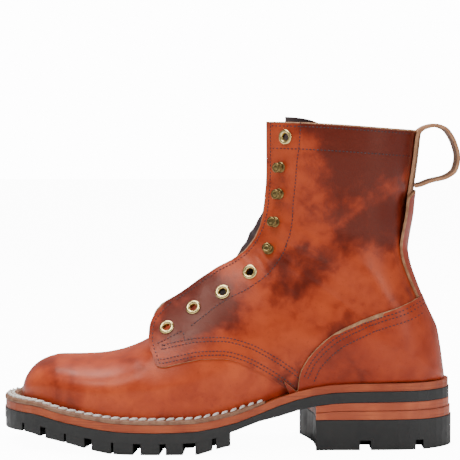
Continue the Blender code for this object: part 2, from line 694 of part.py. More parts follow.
def make_welt(look):
    """A rim round the toe, from the outer waist to the inner waist."""
    rings = []
    for side in (1, 2):
        share = (1 - np.cos(np.linspace(0, math.pi, 241))) / 2
        keep = np.unique(np.round(np.linspace(0, int(np.argmax(share > WELT_END)), 26)).astype(int))
        rings.append([
            np.stack(edge_points(side, inset), axis=-1)[keep]
            for inset in (WELT_STEP, lambda s: flange(s) - SEAT_GAP, lambda s: flange(s) - SEAT_GAP - WELT_RELIEF)
        ])
        share = share[keep]
    taper = np.clip((WELT_END - share) / 0.04, 0, 1)
    height = WELT_THICKNESS * (0.45 + 0.55 * taper)
    rows = []
    for (rim, foot, lean), order in ((rings[0], slice(None, None, -1)), (rings[1], slice(1, None))):
        low = midsole_top(rim[:, 0]) + GAP
        ring = np.stack((
            np.column_stack((foot, midsole_top(foot[:, 0]) + GAP)),
            np.column_stack((rim, low)),
            np.column_stack((rim, low + height)),
            np.column_stack((lean, midsole_top(lean[:, 0]) + GAP + height)),
        ), axis=1)
        rows.append(ring[order])
    ring = np.concatenate(rows)
    count = len(ring)
    faces = [(0, 1, 2, 3), tuple(4 * (count - 1) + j for j in (3, 2, 1, 0))]
    for i in range(count - 1):
        for j in range(4):
            a, b = 4 * i + j, 4 * i + (j + 1) % 4
            faces.append((a, a + 4, b + 4, b))
    new_object("welt", ring.reshape(-1, 3).tolist(), faces, look)


def make_upper(vamp, quarter, looks):
    """Vamp and quarters as one hollow wall, open at the collar, the throat and underneath."""
    grid = settled(vamp.grid(3, 6), quarter)
    upper = shell("upper", grid, close_tip(ways_out(grid)), LEATHER_WALL, 0, looks["leather"])
    combine(upper, prism("vamp_edge", side_outline(VAMP_EDGE), BALL_WIDTH), "INTERSECT")

    grid = quarter.grid(5, 6)
    quarters = shell("quarters", grid, close_back(grid, ways_out(grid)), LINED_WALL, OVERLAY)
    combine(quarters, prism("quarter_edge", side_outline(QUARTER_EDGE), BALL_WIDTH), "INTERSECT")
    combine(quarters, prism("throat", throat_outline(), THROAT_HALF_GAP), "DIFFERENCE")
    for side in (0, 1):
        for a, rise in EYELETS:
            place, way = quarter.spot(float(along(a)), rise * SHAFT_HEIGHT, side)
            hole = turned("hole", ((EYELET_TUBE + GAP, -0.006), (EYELET_TUBE + GAP, 0.006)), place, way, 10)
            combine(quarters, cutter(hole), "DIFFERENCE")
    combine(upper, quarters, "UNION")
    heal(upper)
    upper.data.materials.clear()
    upper.data.materials.append(looks["leather"])


def settled(grid, quarter):
    """The vamp's flanks follow the quarters' form, where the quarters lie on them."""
    ridge = grid.shape[1] // 2
    for line in grid:
        for j, (x, y, z) in enumerate(line):
            behind = eased((share_of(x) - JOIN_START) / JOIN_RUN)
            below = eased((JOIN_TOP + JOIN_RISE - z / SHAFT_HEIGHT) / JOIN_RISE)
            if j != ridge and behind * below > 0:
                there = quarter.cross(x, z, int(j > ridge))[0]
                line[j, 1] += (there - y) * behind * below
    return grid


def eased(t):
    """From 0 to 1 without a corner at either end."""
    t = np.clip(t, 0, 1)
    return t * t * (3 - 2 * t)


def throat_outline():
    """Side view of the gap between the quarters' edges, open to the front."""
    edge = [row[1:3] for row in QUARTER_FOOT] + [row[2:4] for row in QUARTER_LEG]
    inner = side_outline(edge)
    behind = [(x + 0.010, z - 0.012) for x, z in inner]
    ahead = [(x - 0.06, z + 0.06) for x, z in inner[::6]]
    return behind + [(behind[-1][0], behind[-1][1] + 0.03)] + ahead[::-1]


def turned(name, profile, place, way, sides, look=None, smooth=True):
    """A solid turned about the way out of the leather; profile is (radius, height)."""
    way = np.array(way, float)
    first = np.cross(way, (0, 0, 1.0))
    first /= np.linalg.norm(first)
    second = np.cross(way, first)
    rings = []
    for radius, height in profile:
        angles = np.arange(sides) * 2 * math.pi / sides
        circle = np.cos(angles)[:, None] * first + np.sin(angles)[:, None] * second
        rings.append(np.array(place) + way * height + circle * radius)
    points = np.concatenate(rings)
    count = len(profile)
    faces = []
    hollow = profile[0] == profile[-1]
    for i in range(count - 1):
        for j in range(sides):
            k = (j + 1) % sides
            faces.append((i * sides + j, i * sides + k, (i + 1) * sides + k, (i + 1) * sides + j))
    if not hollow:
        faces.append(tuple(range(sides)))
        faces.append(tuple(range(count * sides - 1, (count - 1) * sides - 1, -1)))
    return new_object(name, points.tolist(), faces, look, smooth)


def make_overlays(quarter, looks):
    """Counter round the heel and strip up the back, both outside the quarters."""
    grid = quarter.grid(5, 6)
    way = close_back(grid, ways_out(grid))
    base = OVERLAY + GAP
    rise = quarter.columns[:, 1] / SHAFT_HEIGHT
    low = (rise < 0.56) & (quarter.columns[:, 0] > along(0.53))
    counter = shell("counter", grid[low], way[low], -base, base + COUNTER_THICKNESS, looks["leather_dark"])
    combine(counter, prism("counter_edge", side_outline(COUNTER_EDGE), BALL_WIDTH), "INTERSECT")
    heal(counter)

    high = (rise > 0.36) & (rise < 0.88) & (quarter.columns[:, 0] > along(0.85))
    bands = np.concatenate((grid[high][:, -5:-1], grid[high][:, :5]), axis=1)
    ways = np.concatenate((way[high][:, -5:-1], way[high][:, :5]), axis=1)
    over = np.clip((bands[..., 2] - STRAP_FOOT + 0.014) / 0.012, 0, 1)
    lift = (base + (STRAP_THICKNESS + SEAT_GAP) * over * over * (3 - 2 * over))[..., None]
    points, faces = between(bands + ways * (lift + BACKSTAY_THICKNESS), bands + ways * lift)
    backstay = new_object("backstay", points, faces, looks["leather_dark"])
    combine(backstay, strip_prism(), "INTERSECT")
    grown = [(x - GAP, z + GAP) for x, z in side_outline(COUNTER_EDGE)]
    combine(backstay, prism("clear_counter", grown, BALL_WIDTH), "DIFFERENCE")
    heal(backstay)


def strip_prism():
    """Rear view of the back strip, with a round top."""
    half = BACKSTAY_HALF_WIDTH
    arc = [math.pi * i / 12 for i in range(13)]
    outline = [(half * math.cos(a), BACKSTAY_TOP - half * 0.45 + half * 0.45 * math.sin(a)) for a in arc]
    outline = [(half, 0.08)] + outline + [(-half, 0.08)]
    n = len(outline)
    points = [(x, y, z) for x in (-0.01, 0.08) for y, z in outline]
    faces = [tuple(range(n)), tuple(range(2 * n - 1, n - 1, -1))]
    faces += [(i, i + n, (i + 1) % n + n, (i + 1) % n) for i in range(n)]
    return cutter(new_object("strip_edge", points, faces, smooth=False))


def make_tongue(quarter, look):
    """A curved plate behind the throat, from under the vamp to above the collar."""
    rows = [(i, *row) for i, row in enumerate(TONGUE)]
    at = np.linspace(0, len(TONGUE) - 1, 15)
    share, rise, half = (curve(rows, i, at) for i in (1, 2, 3))
    c = np.linspace(-1, 1, 9)
    grid = []
    for a, r, h in zip(share, rise, half):
        x, z = float(along(a)), r * SHAFT_HEIGHT
        row = quarter.cross(x, z, 0)[1]
        wide = min(row[4], row[5]) - 2 * LEATHER_WALL
        w = c * h * BALL_WIDTH
        part = row[6] + (1 - row[6]) * np.sqrt(np.clip(1 - (w / wide) ** 2, 0, 1))
        grid.append(np.column_stack((row[0] + (x - row[0]) * part, w, row[1] + (z - row[1]) * part)))
    grid = np.array(grid)
    way = ways_out(grid)
    if way[len(way) // 2, len(c) // 2, 2] < 0:
        way = -way
    new_object("tongue", *between(grid, grid - way * TONGUE_THICKNESS), look)


def make_loop(quarter, look):
    """A strap up the back of the shaft, over and down again outside itself."""
    back = quarter.columns[quarter.columns[:, 1] > 0.3 * SHAFT_HEIGHT]
    out = OVERLAY + SEAT_GAP + STRAP_THICKNESS / 2
    rise = np.linspace(STRAP_FOOT, LOOP[0][1] * SHAFT_HEIGHT - 0.006, 8)
    run = [(float(np.interp(z, back[:, 1], back[:, 0])) + out, z) for z in rise]
    turn = side_outline(LOOP)
    last = run[2]
    ends = [(last[0] + STRAP_THICKNESS + 2 * GAP, BACKSTAY_TOP + 3 * GAP + STRAP_THICKNESS / 2)]
    path = [(i, *p) for i, p in enumerate(run + turn + ends)]
    at = np.linspace(0, len(path) - 1, 30)
    x, z = curve(path, 1, at), curve(path, 2, at)
    dx, dz = np.gradient(x), np.gradient(z)
    length = np.hypot(dx, dz)
    nx, nz = dz / length, -dx / length
    y = np.linspace(-1, 1, 5) * STRAP_WIDTH / 2
    wide = np.interp(z, back[:, 1], back[:, 4])
    deep = np.interp(z, back[:, 1], back[:, 6] * np.hypot(back[:, 2] - back[:, 0], back[:, 3] - back[:, 1]))
    turn_by = math.pi / 2 * np.linspace(1, 0, 6)
    sag = np.array([
        d * np.interp(abs(y), w * np.cos(turn_by), 1 - np.sin(turn_by)) for w, d in zip(wide, deep)
    ])
    flat = eased((at - len(run) + 1) / 3) * eased((len(path) - 1 - at) / 3)
    sag = sag * (1 - 0.8 * flat[:, None])
    grids = []
    for sign in (1, -1):
        push = sign * STRAP_THICKNESS / 2
        grids.append(np.stack((
            (x + nx * push)[:, None] - sag, y[None, :] + 0 * sag, (z + nz * push)[:, None] + 0 * sag,
        ), axis=-1))
    new_object("pull_loop", *between(*grids), look)


def make_fittings(quarter, looks):
    """Five eyelets and four hooks on each side."""
    for side, name in enumerate(("outer", "inner")):
        for i, (a, rise) in enumerate(EYELETS):
            place, way = quarter.spot(float(along(a)), rise * SHAFT_HEIGHT, side, OVERLAY + SEAT_GAP)
            tube, bore, rim = EYELET_TUBE, EYELET_BORE, EYELET_RADIUS
            wall = OVERLAY + LINED_WALL + GAP
            profile = (
                (bore, -wall), (tube, -wall), (tube, 0.0), (rim, 0.0), (rim, EYELET_LIP * 0.4),
                ((rim + bore) / 2, EYELET_LIP), (bore, EYELET_LIP * 0.55), (bore, -wall),
            )
            turned(f"eyelet_{name}_{i + 1}", profile, place, way, 10, looks["brass"])
        for i, (a, rise) in enumerate(HOOKS):
            place, way = quarter.spot(float(along(a)), rise * SHAFT_HEIGHT, side, OVERLAY + SEAT_GAP)
            base, head, post = HOOK_BASE_RADIUS, HOOK_HEAD_RADIUS, HOOK_POST_RADIUS
            profile = (
                (base, 0.0), (base, 0.0006), (base * 0.6, 0.0012), (post, 0.0016),
                (post, HOOK_REACH - 0.0022), (head, HOOK_REACH - 0.0014), (head, HOOK_REACH - 0.0008),
                (head * 0.6, HOOK_REACH),
            )
            turned(f"hook_{name}_{i + 1}", profile, place, way, 8, looks["old_brass"])


def build():
    for old in list(bpy.data.objects):
        bpy.data.objects.remove(old)
    looks = {
        "leather": material("oiled_leather", (0.42, 0.09, 0.03), 0.42),
        "leather_dark": material("overlay_leather", (0.38, 0.075, 0.027), 0.42),
        "tongue": material("tongue_leather", (0.06, 0.03, 0.03), 0.55),
        "strap": material("strap_leather", (0.55, 0.27, 0.13), 0.6),
        "welt": material("welt_leather", (0.27, 0.12, 0.07), 0.6),
        "midsole": material("midsole_leather", (0.45, 0.12, 0.05), 0.5),
        "stack": material("stacked_leather", (0.42, 0.11, 0.045), 0.5),
        "insole": material("insole_board", (0.50, 0.32, 0.19), 0.7),
        "rubber": material("sole_rubber", (0.04, 0.039, 0.038), 0.6),
        "brass": material("brass", (0.78, 0.66, 0.36), 0.3, 1.0),
        "old_brass": material("antique_brass", (0.42, 0.29, 0.12), 0.35, 1.0),
    }
    make_sole(looks)
    vamp = Form(vamp_rows(), 0.026)
    quarter = Form(quarter_rows(), 0.026)
    make_upper(vamp, quarter, looks)
    make_overlays(quarter, looks)
    make_tongue(quarter, looks["tongue"])
    make_loop(quarter, looks["strap"])
    make_fittings(quarter, looks)


build()
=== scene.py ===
# The looks of a left lace-up ankle boot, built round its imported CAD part.
# Metres, +Z up, toe towards -X, outer side of the foot towards -Y.
import json
import math

import bpy
import numpy as np
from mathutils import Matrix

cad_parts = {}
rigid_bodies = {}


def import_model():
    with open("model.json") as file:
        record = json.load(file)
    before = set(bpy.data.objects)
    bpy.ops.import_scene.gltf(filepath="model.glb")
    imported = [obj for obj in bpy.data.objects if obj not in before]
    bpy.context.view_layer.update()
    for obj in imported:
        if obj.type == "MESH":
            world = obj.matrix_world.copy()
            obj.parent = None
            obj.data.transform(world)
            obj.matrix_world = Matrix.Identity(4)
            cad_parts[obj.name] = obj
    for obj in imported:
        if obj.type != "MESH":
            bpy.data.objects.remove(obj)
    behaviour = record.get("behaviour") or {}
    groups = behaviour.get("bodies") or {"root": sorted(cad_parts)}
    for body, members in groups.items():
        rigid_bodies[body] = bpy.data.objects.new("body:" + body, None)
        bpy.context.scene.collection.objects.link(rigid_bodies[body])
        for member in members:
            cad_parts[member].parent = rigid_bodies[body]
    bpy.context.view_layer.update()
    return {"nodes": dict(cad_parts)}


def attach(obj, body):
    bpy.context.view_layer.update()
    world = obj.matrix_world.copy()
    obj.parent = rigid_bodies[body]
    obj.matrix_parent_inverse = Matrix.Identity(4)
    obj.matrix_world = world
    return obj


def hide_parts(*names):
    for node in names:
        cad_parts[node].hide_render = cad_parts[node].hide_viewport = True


for old in list(bpy.data.objects):
    bpy.data.objects.remove(old)
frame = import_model()
print("frame loaded")

# The form of the part: sizes, then tables of shares, as in its source
outsoleLength, heelCentre, ballWidth, shaftHeight = 0.311, 0.264, 0.112, 0.223
solePlan = {
    "forefoot": 0.0145, "heel": 0.040, "spring": 0.0115, "midsole": 0.0053, "gap": 0.0003,
    "footGap": 0.0005, "welt": 0.0028, "weltEnd": 0.585,
}
throatHalfGap, vampBulge, toeSwing = 0.017, 0.0025, 0.008
wall, linedWall, overlay, counterWall, stripWall = 0.0018, 0.0009, 0.0016, 0.0018, 0.0015
outline = (
    # along, outer side, inner side
    (0.00, 0.071, 0.071), (0.02, -0.152, 0.268), (0.05, -0.259, 0.348), (0.10, -0.357, 0.411),
    (0.16, -0.429, 0.446), (0.25, -0.491, 0.473), (0.33, -0.518, 0.473), (0.42, -0.509, 0.438),
    (0.50, -0.455, 0.366), (0.58, -0.393, 0.304), (0.66, -0.344, 0.286), (0.72, -0.326, 0.295),
    (0.80, -0.321, 0.313), (0.87, -0.313, 0.313), (0.93, -0.277, 0.277), (0.97, -0.196, 0.196),
    (1.00, 0.000, 0.000),
)
topLine = (
    # along, share of the toe spring, share of the rise to the heel
    (0.000, 0.91, 0.00), (0.074, 0.87, 0.00), (0.138, 0.52, 0.00), (0.203, 0.23, 0.00),
    (0.270, 0.03, 0.00), (0.344, 0.00, 0.00), (0.421, 0.00, 0.02), (0.473, 0.00, 0.10),
    (0.508, 0.00, 0.18), (0.553, 0.00, 0.35), (0.595, 0.00, 0.55), (0.640, 0.00, 0.73),
    (0.682, 0.00, 0.86), (0.733, 0.00, 0.95), (0.794, 0.00, 0.98), (0.878, 0.00, 0.99),
    (1.000, 0.00, 1.00),
)
flangeLine = (
    (0.0, 0.104), (0.08, 0.090), (0.20, 0.072), (0.45, 0.068), (0.62, 0.058), (0.80, 0.058),
    (1.0, 0.062),
)
vampTable = (
    # foot, ridge along, ridge rise, outer, inner, equator, fullness
    (0.048, 0.048, 0.202, None, None, 0.42, 2.0),
    (0.063, 0.063, 0.233, None, None, 0.42, 2.0),
    (0.082, 0.082, 0.254, None, None, 0.42, 2.0),
    (0.104, 0.104, 0.267, None, None, 0.42, 2.1),
    (0.127, 0.127, 0.274, None, None, 0.42, 2.1),
    (0.171, 0.171, 0.275, None, None, 0.42, 2.1),
    (0.216, 0.216, 0.278, None, None, 0.42, 2.1),
    (0.261, 0.261, 0.289, None, None, 0.42, 2.1),
    (0.306, 0.306, 0.311, 0.462, 0.426, 0.42, 2.2),
    (0.329, 0.329, 0.325, 0.467, 0.424, 0.41, 2.2),
    (0.370, 0.370, 0.363, 0.466, 0.415, 0.36, 2.2),
    (0.441, 0.418, 0.415, 0.451, 0.389, 0.32, 2.3),
    (0.521, 0.450, 0.453, 0.415, 0.352, 0.31, 2.3),
    (0.601, 0.473, 0.489, 0.384, 0.330, 0.31, 2.2),
    (0.682, 0.492, 0.525, 0.357, 0.321, 0.32, 2.0),
)
vampTipRise = 0.157
quarterFoot = (
    # foot, edge along, edge rise, outer, inner, equator, fullness
    (0.305, 0.305, 0.386, 0.462, 0.426, 0.27, 1.25),
    (0.344, 0.341, 0.417, 0.468, 0.422, 0.27, 1.25),
    (0.383, 0.376, 0.448, 0.464, 0.412, 0.27, 1.25),
    (0.431, 0.415, 0.482, 0.455, 0.393, 0.27, 1.3),
    (0.489, 0.453, 0.518, 0.429, 0.357, 0.28, 1.35),
    (0.559, 0.486, 0.547, 0.402, 0.330, 0.30, 1.45),
    (0.601, 0.501, 0.559, 0.385, 0.325, 0.31, 1.52),
    (0.643, 0.514, 0.570, 0.371, 0.323, 0.32, 1.6),
    (0.690, 0.525, 0.582, 0.356, 0.321, 0.33, 1.68),
    (0.736, 0.535, 0.594, 0.344, 0.321, 0.34, 1.85),
    (0.833, 0.550, 0.617, 0.335, 0.326, 0.34, 2.0),
    (0.923, 0.559, 0.634, 0.326, 0.317, 0.33, 2.1),
    (0.955, 0.563, 0.642, 0.323, 0.314, 0.31, 2.15),
    (0.969, 0.566, 0.649, 0.319, 0.310, 0.30, 2.2),
)
quarterLeg = (
    # back along, back rise, edge along, edge rise, outer, inner, equator, fullness
    (None, None, 0.568, 0.655, 0.317, 0.308, 0.30, 2.25),
    (0.973, 0.256, 0.571, 0.666, 0.315, 0.308, 0.30, 2.35),
    (0.968, 0.305, 0.575, 0.677, 0.313, 0.306, 0.31, 2.4),
    (0.961, 0.357, 0.578, 0.689, 0.313, 0.306, 0.33, 2.4),
    (0.945, 0.407, 0.581, 0.704, 0.313, 0.306, 0.36, 2.35),
    (0.929, 0.457, 0.584, 0.722, 0.313, 0.306, 0.39, 2.25),
    (0.916, 0.502, 0.586, 0.740, 0.311, 0.306, 0.42, 2.1),
    (0.901, 0.564, 0.588, 0.767, 0.311, 0.306, 0.45, 2.0),
    (0.895, 0.614, 0.590, 0.794, 0.317, 0.310, 0.47, 2.0),
    (0.899, 0.740, 0.592, 0.865, 0.339, 0.332, 0.48, 2.0),
    (0.912, 0.883, 0.592, 0.951, 0.366, 0.358, 0.48, 2.0),
    (0.923, 1.031, 0.592, 1.045, 0.378, 0.370, 0.48, 2.0),
)
# Side outlines: along, rise as a share of the shaft's height
seamLine = (
    (0.346, 0.270), (0.351, 0.262), (0.360, 0.259), (0.402, 0.271), (0.447, 0.283), (0.489, 0.285),
    (0.534, 0.271), (0.567, 0.249), (0.601, 0.220), (0.636, 0.182), (0.655, 0.150), (0.664, 0.120),
)
flapLine = (
    (0.346, 0.270), (0.340, 0.292), (0.334, 0.312), (0.331, 0.341), (0.332, 0.368), (0.338, 0.395),
    (0.353, 0.422), (0.372, 0.450), (0.392, 0.476),
)
collarLine = (
    (0.530, 1.002), (0.592, 1.0025), (0.659, 1.001), (0.746, 0.995), (0.833, 0.986),
    (0.918, 0.977), (0.960, 0.974),
)
counterLine = (
    (0.651, 0.130), (0.659, 0.235), (0.675, 0.280), (0.701, 0.321), (0.733, 0.357), (0.781, 0.390),
    (0.829, 0.417), (0.893, 0.444), (0.938, 0.466), (0.990, 0.480),
)


def curve(rows, column, at):
    # A smooth line through a column of a table that never overshoots its rows
    xs = np.array([row[0] for row in rows], float)
    ys = np.array([row[column] for row in rows], float)
    step, rise = np.diff(xs), np.diff(ys) / np.diff(xs)
    slope = np.concatenate(([rise[0]], np.zeros(len(xs) - 2), [rise[-1]]))
    for i in range(1, len(xs) - 1):
        if rise[i - 1] * rise[i] > 0:
            a, b = 2 * step[i] + step[i - 1], step[i] + 2 * step[i - 1]
            slope[i] = (a + b) / (a / rise[i - 1] + b / rise[i])
    at = np.clip(np.asarray(at, float), xs[0], xs[-1])
    i = np.clip(np.searchsorted(xs, at) - 1, 0, len(step) - 1)
    t = (at - xs[i]) / step[i]
    return (
        (1 + 2 * t) * (1 - t) ** 2 * ys[i] + t * (1 - t) ** 2 * step[i] * slope[i]
        + t * t * (3 - 2 * t) * ys[i + 1] - t * t * (1 - t) * step[i] * slope[i + 1]
    )


def along(share):
    return np.asarray(share) * outsoleLength - heelCentre


def shareOf(x):
    return (np.asarray(x) + heelCentre) / outsoleLength


def eased(t):
    t = np.clip(t, 0, 1)
    return t * t * (3 - 2 * t)


def unit(way):
    return way / np.maximum(np.linalg.norm(way, axis=-1, keepdims=True), 1e-12)


def lengths(x, y):
    # How far each point lies along a line
    return np.concatenate(([0], np.cumsum(np.hypot(np.diff(x), np.diff(y)))))


def ordered(first, *others):
    # Columns sorted by the first of them
    order = np.argsort(first, kind="stable")
    return [column[order] for column in (first, *others)]


def kept(line, inside):
    return line[0][inside], line[1][inside]


def outsoleTop(x):
    s = shareOf(x)
    rise = solePlan["heel"] - solePlan["forefoot"]
    return solePlan["forefoot"] + curve(topLine, 1, s) * solePlan["spring"] + curve(topLine, 2, s) * rise


def midsoleTop(x):
    return outsoleTop(x) + solePlan["gap"] + solePlan["midsole"]


def footLevel(x):
    return midsoleTop(x) + solePlan["footGap"]


def flange(share):
    return curve(flangeLine, 1, share) * ballWidth


def edgePoints(side, inset, count=481):
    # The outline of the outsole on one side, moved inwards; side 1 is outer and 2 is inner
    theta = np.linspace(0, math.pi, count)
    share = (1 - np.cos(theta)) / 2
    turned = tuple((math.acos(1 - 2 * row[0]), *row[1:]) for row in outline)
    x, y = along(share), curve(turned, side, theta) * ballWidth
    dx, dy = np.gradient(x), np.gradient(y)
    dx[0] = dx[-1] = 0
    length = np.hypot(dx, dy)
    sign = 1 if side == 1 else -1
    inset = inset(share) if callable(inset) else inset
    return x - inset * sign * dy / length, y + inset * sign * dx / length


footLines = [edgePoints(side, flange) for side in (1, 2)]
footStart, footFinish = footLines[0][0][0], footLines[0][0][-1]


def swing(x):
    return toeSwing * np.clip(1 - shareOf(x) / 0.42, 0, 1) ** 2


def footWidths(x):
    x = np.clip(x, footStart, footFinish)
    outer, inner = (np.interp(x, *line) for line in footLines)
    return swing(x) - outer, inner - swing(x)


def footTurn(wide, foot):
    # The angle below the widest level at which a section of that width meets the foot line
    return np.maximum(np.arccos(np.clip(foot / np.maximum(wide, 1e-9), 0, 1)), 1e-3)


class Form:
    # Half sections that run from a foot or back line up to a ridge. At t along the form and
    # turn s, -1 at the foot, 0 at the widest level and 1 on the ridge, the half width is W cos(b)
    # below the widest level and W cos(b)^(2/f) above it, where f is the fullness.
    def __init__(self, rows):
        rows = np.array(rows, float)
        step = np.hypot(*np.diff(rows[:, :2], axis=0).T) + np.hypot(*np.diff(rows[:, 2:4], axis=0).T)
        place = np.concatenate(([0], np.cumsum(step)))
        self.table = [(p, *row) for p, row in zip(place, rows)]
        self.footEnd = place[np.argmax(rows[:, 0])]
        self.last = place[-1]
        self.t = np.linspace(0, self.last, 900)
        self.fine = np.array(self.columns(self.t)[:4])

    def columns(self, t):
        made = [curve(self.table, i + 1, t) for i in range(8)]
        onFoot = t <= self.footEnd + 1e-9
        made[1] = np.where(onFoot, footLevel(made[0]), made[1])
        inside = onFoot & (made[0] < footFinish - 1e-6) & (made[0] > footStart + 1e-6)
        return made + [w * inside for w in footWidths(made[0])]

    def point(self, t, s, side):
        x, z, topX, topZ, outer, inner, equator, fullness, *feet = self.columns(t)
        wide = (outer, inner)[side]
        start = footTurn(wide, feet[side])
        below, above = np.clip(-s, 0, 1) * start, np.clip(s, 0, 1) * math.pi / 2
        power = 2 / fullness
        q = np.where(
            s < 0, equator * (1 - np.sin(below) / np.sin(start)),
            equator + (1 - equator) * np.sin(above) ** power,
        )
        w = wide * np.where(s < 0, np.cos(below), np.clip(np.cos(above), 0, 1) ** power)
        w = np.where(s >= 1, 0, w)
        px = x + (topX - x) * q
        return np.stack((px, swing(px) + (-w, w)[side], z + (topZ - z) * q), axis=-1)

    def turn(self, t, q, side):
        # The turn s of a share q of the way from the foot to the ridge
        x, z, topX, topZ, outer, inner, equator, fullness, *feet = self.columns(t)
        wide = (outer, inner)[side]
        start = footTurn(wide, feet[side])
        low = -np.arcsin(np.clip((equator - q) / equator, 0, 1) * np.sin(start)) / start
        top = np.arcsin(np.clip((q - equator) / (1 - equator), 0, 1) ** (fullness / 2)) * 2 / math.pi
        return np.where(q < equator, low, top)

    def throat(self, t, side):
        # The turn where the half width is half the throat's gap
        columns = self.columns(t)
        wide, fullness = columns[4 + side], columns[7]
        return np.arccos(np.clip(throatHalfGap / wide, 0, 1) ** (fullness / 2)) * 2 / math.pi

    def locate(self, x, z):
        # Where a point of the side view lies on the form: t and the share q
        x, z = np.asarray(x, float), np.asarray(z, float)
        fx, fz, tx, tz = self.fine
        turned = (tx - fx) * (z[..., None] - fz) - (tz - fz) * (x[..., None] - fx)
        i = np.argmax(np.sign(turned[..., :-1]) * np.sign(turned[..., 1:]) <= 0, axis=-1)[..., None]
        a, b = (np.take_along_axis(turned, i + k, -1)[..., 0] for k in (0, 1))
        t = self.t[i[..., 0]] + a / np.where(a == b, 1, a - b) * self.t[1]
        x0, z0, x1, z1 = self.columns(t)[:4]
        return t, np.hypot(x - x0, z - z0) / np.hypot(x1 - x0, z1 - z0)

    def across(self, x, z, side):
        t, q = self.locate(x, z)
        return self.point(t, self.turn(t, q, side), side)[..., 1]

    def spot(self, x, z, side, out=0.0):
        # Points at places of the side view, moved outwards, with the ways out
        d = 0.0008
        x, z = np.asarray(x, float), np.asarray(z, float)
        here = np.stack((x, self.across(x, z, side), z), axis=-1)
        slopeX = (self.across(x + d, z, side) - self.across(x - d, z, side)) / (2 * d)
        slopeZ = (self.across(x, z + d, side) - self.across(x, z - d, side)) / (2 * d)
        way = unit(np.stack((-slopeX, np.ones_like(x), -slopeZ), axis=-1)) * (-1, 1)[side]
        out = np.asarray(out)
        return here + way * (out[..., None] if out.ndim else out), way


def vampRows():
    rows = [(footStart, footLevel(footStart), footStart, vampTipRise * shaftHeight, 0, 0, 0.42, 2.0)]
    for foot, ridge, rise, outer, inner, equator, fullness in vampTable:
        x = float(along(foot))
        pair = [float(w) + vampBulge * min(1, float(w) / 0.02) for w in footWidths(x)]
        if outer:
            pair = [outer * ballWidth, inner * ballWidth]
        rows.append((x, footLevel(x), float(along(ridge)), rise * shaftHeight, *pair, equator, fullness))
    return rows


def quarterRows():
    rows = []
    for base, rise, edge, edgeRise, outer, inner, equator, fullness in [
            (row[0], None, *row[1:]) for row in quarterFoot] + list(quarterLeg):
        x = footFinish if base is None else float(along(base))
        z = float(footLevel(x)) if rise is None else rise * shaftHeight
        narrow = min(1, throatHalfGap / ((outer + inner) / 2 * ballWidth)) ** fullness
        part = equator + (1 - equator) * (1 - narrow) ** (1 / fullness)
        top = (x + (float(along(edge)) - x) / part, z + (edgeRise * shaftHeight - z) / part)
        rows.append((x, z, *top, outer * ballWidth, inner * ballWidth, equator, fullness))
    return rows


vampForm, quarterForm = Form(vampRows()), Form(quarterRows())


def sideLine(rows, count=160, distance=0.0):
    # A smooth line through side-view places, in metres, moved to its left by a distance
    rows = np.array(rows, float) * (outsoleLength, shaftHeight) - (heelCentre, 0)
    step = lengths(*rows.T)
    table = [(p, *row) for p, row in zip(step, rows)]
    at = np.linspace(0, step[-1], count)
    x, z = curve(table, 1, at), curve(table, 2, at)
    return shifted(x, z, distance)


def shifted(x, z, distance):
    dx, dz = np.gradient(x), np.gradient(z)
    length = np.maximum(np.hypot(dx, dz), 1e-9)
    return x - dz / length * distance, z + dx / length * distance


def waysOut(grid):
    du, dv = np.gradient(grid, axis=0), np.gradient(grid, axis=1)
    return unit(np.cross(du, dv))


def quads(index):
    return np.stack((index[:-1, :-1], index[:-1, 1:], index[1:, 1:], index[1:, :-1]), -1).reshape(-1, 4)


def slab(outer, inner, raw=(0, 0, 0, 0)):
    # The closed body between two grids: its points, and its outer, rim and inner faces. Raw tells
    # how many strips of the outer faces go with the rim: at the first and last row and column
    rows, columns = outer.shape[:2]
    count = rows * columns
    index = np.arange(count).reshape(rows, columns)
    ring = np.concatenate((index[:, 0], index[-1, 1:], index[-2::-1, -1], index[0, -2:0:-1]))
    after = np.roll(ring, -1)
    rim = np.stack((ring, after, after + count, ring + count), -1)
    points = np.concatenate((outer.reshape(-1, 3), inner.reshape(-1, 3)))
    i, j = np.indices((rows - 1, columns - 1))
    edge = ((i < raw[0]) | (i >= rows - 1 - raw[1]) | (j < raw[2]) | (j >= columns - 1 - raw[3])).ravel()
    faces = quads(index)
    return points, [faces[~edge], np.concatenate((rim, faces[edge])), faces[:, ::-1] + count]


def outward(points, groups):
    # Faces all turned so that the body's volume is positive
    faces = np.concatenate([group[:, :4] for group in groups])
    a, b, c, d = (points[faces[:, i]] for i in range(4))
    volume = (np.cross(a, b) * c).sum() + (np.cross(a, c) * d).sum()
    return groups if volume > 0 else [group[:, ::-1] for group in groups]


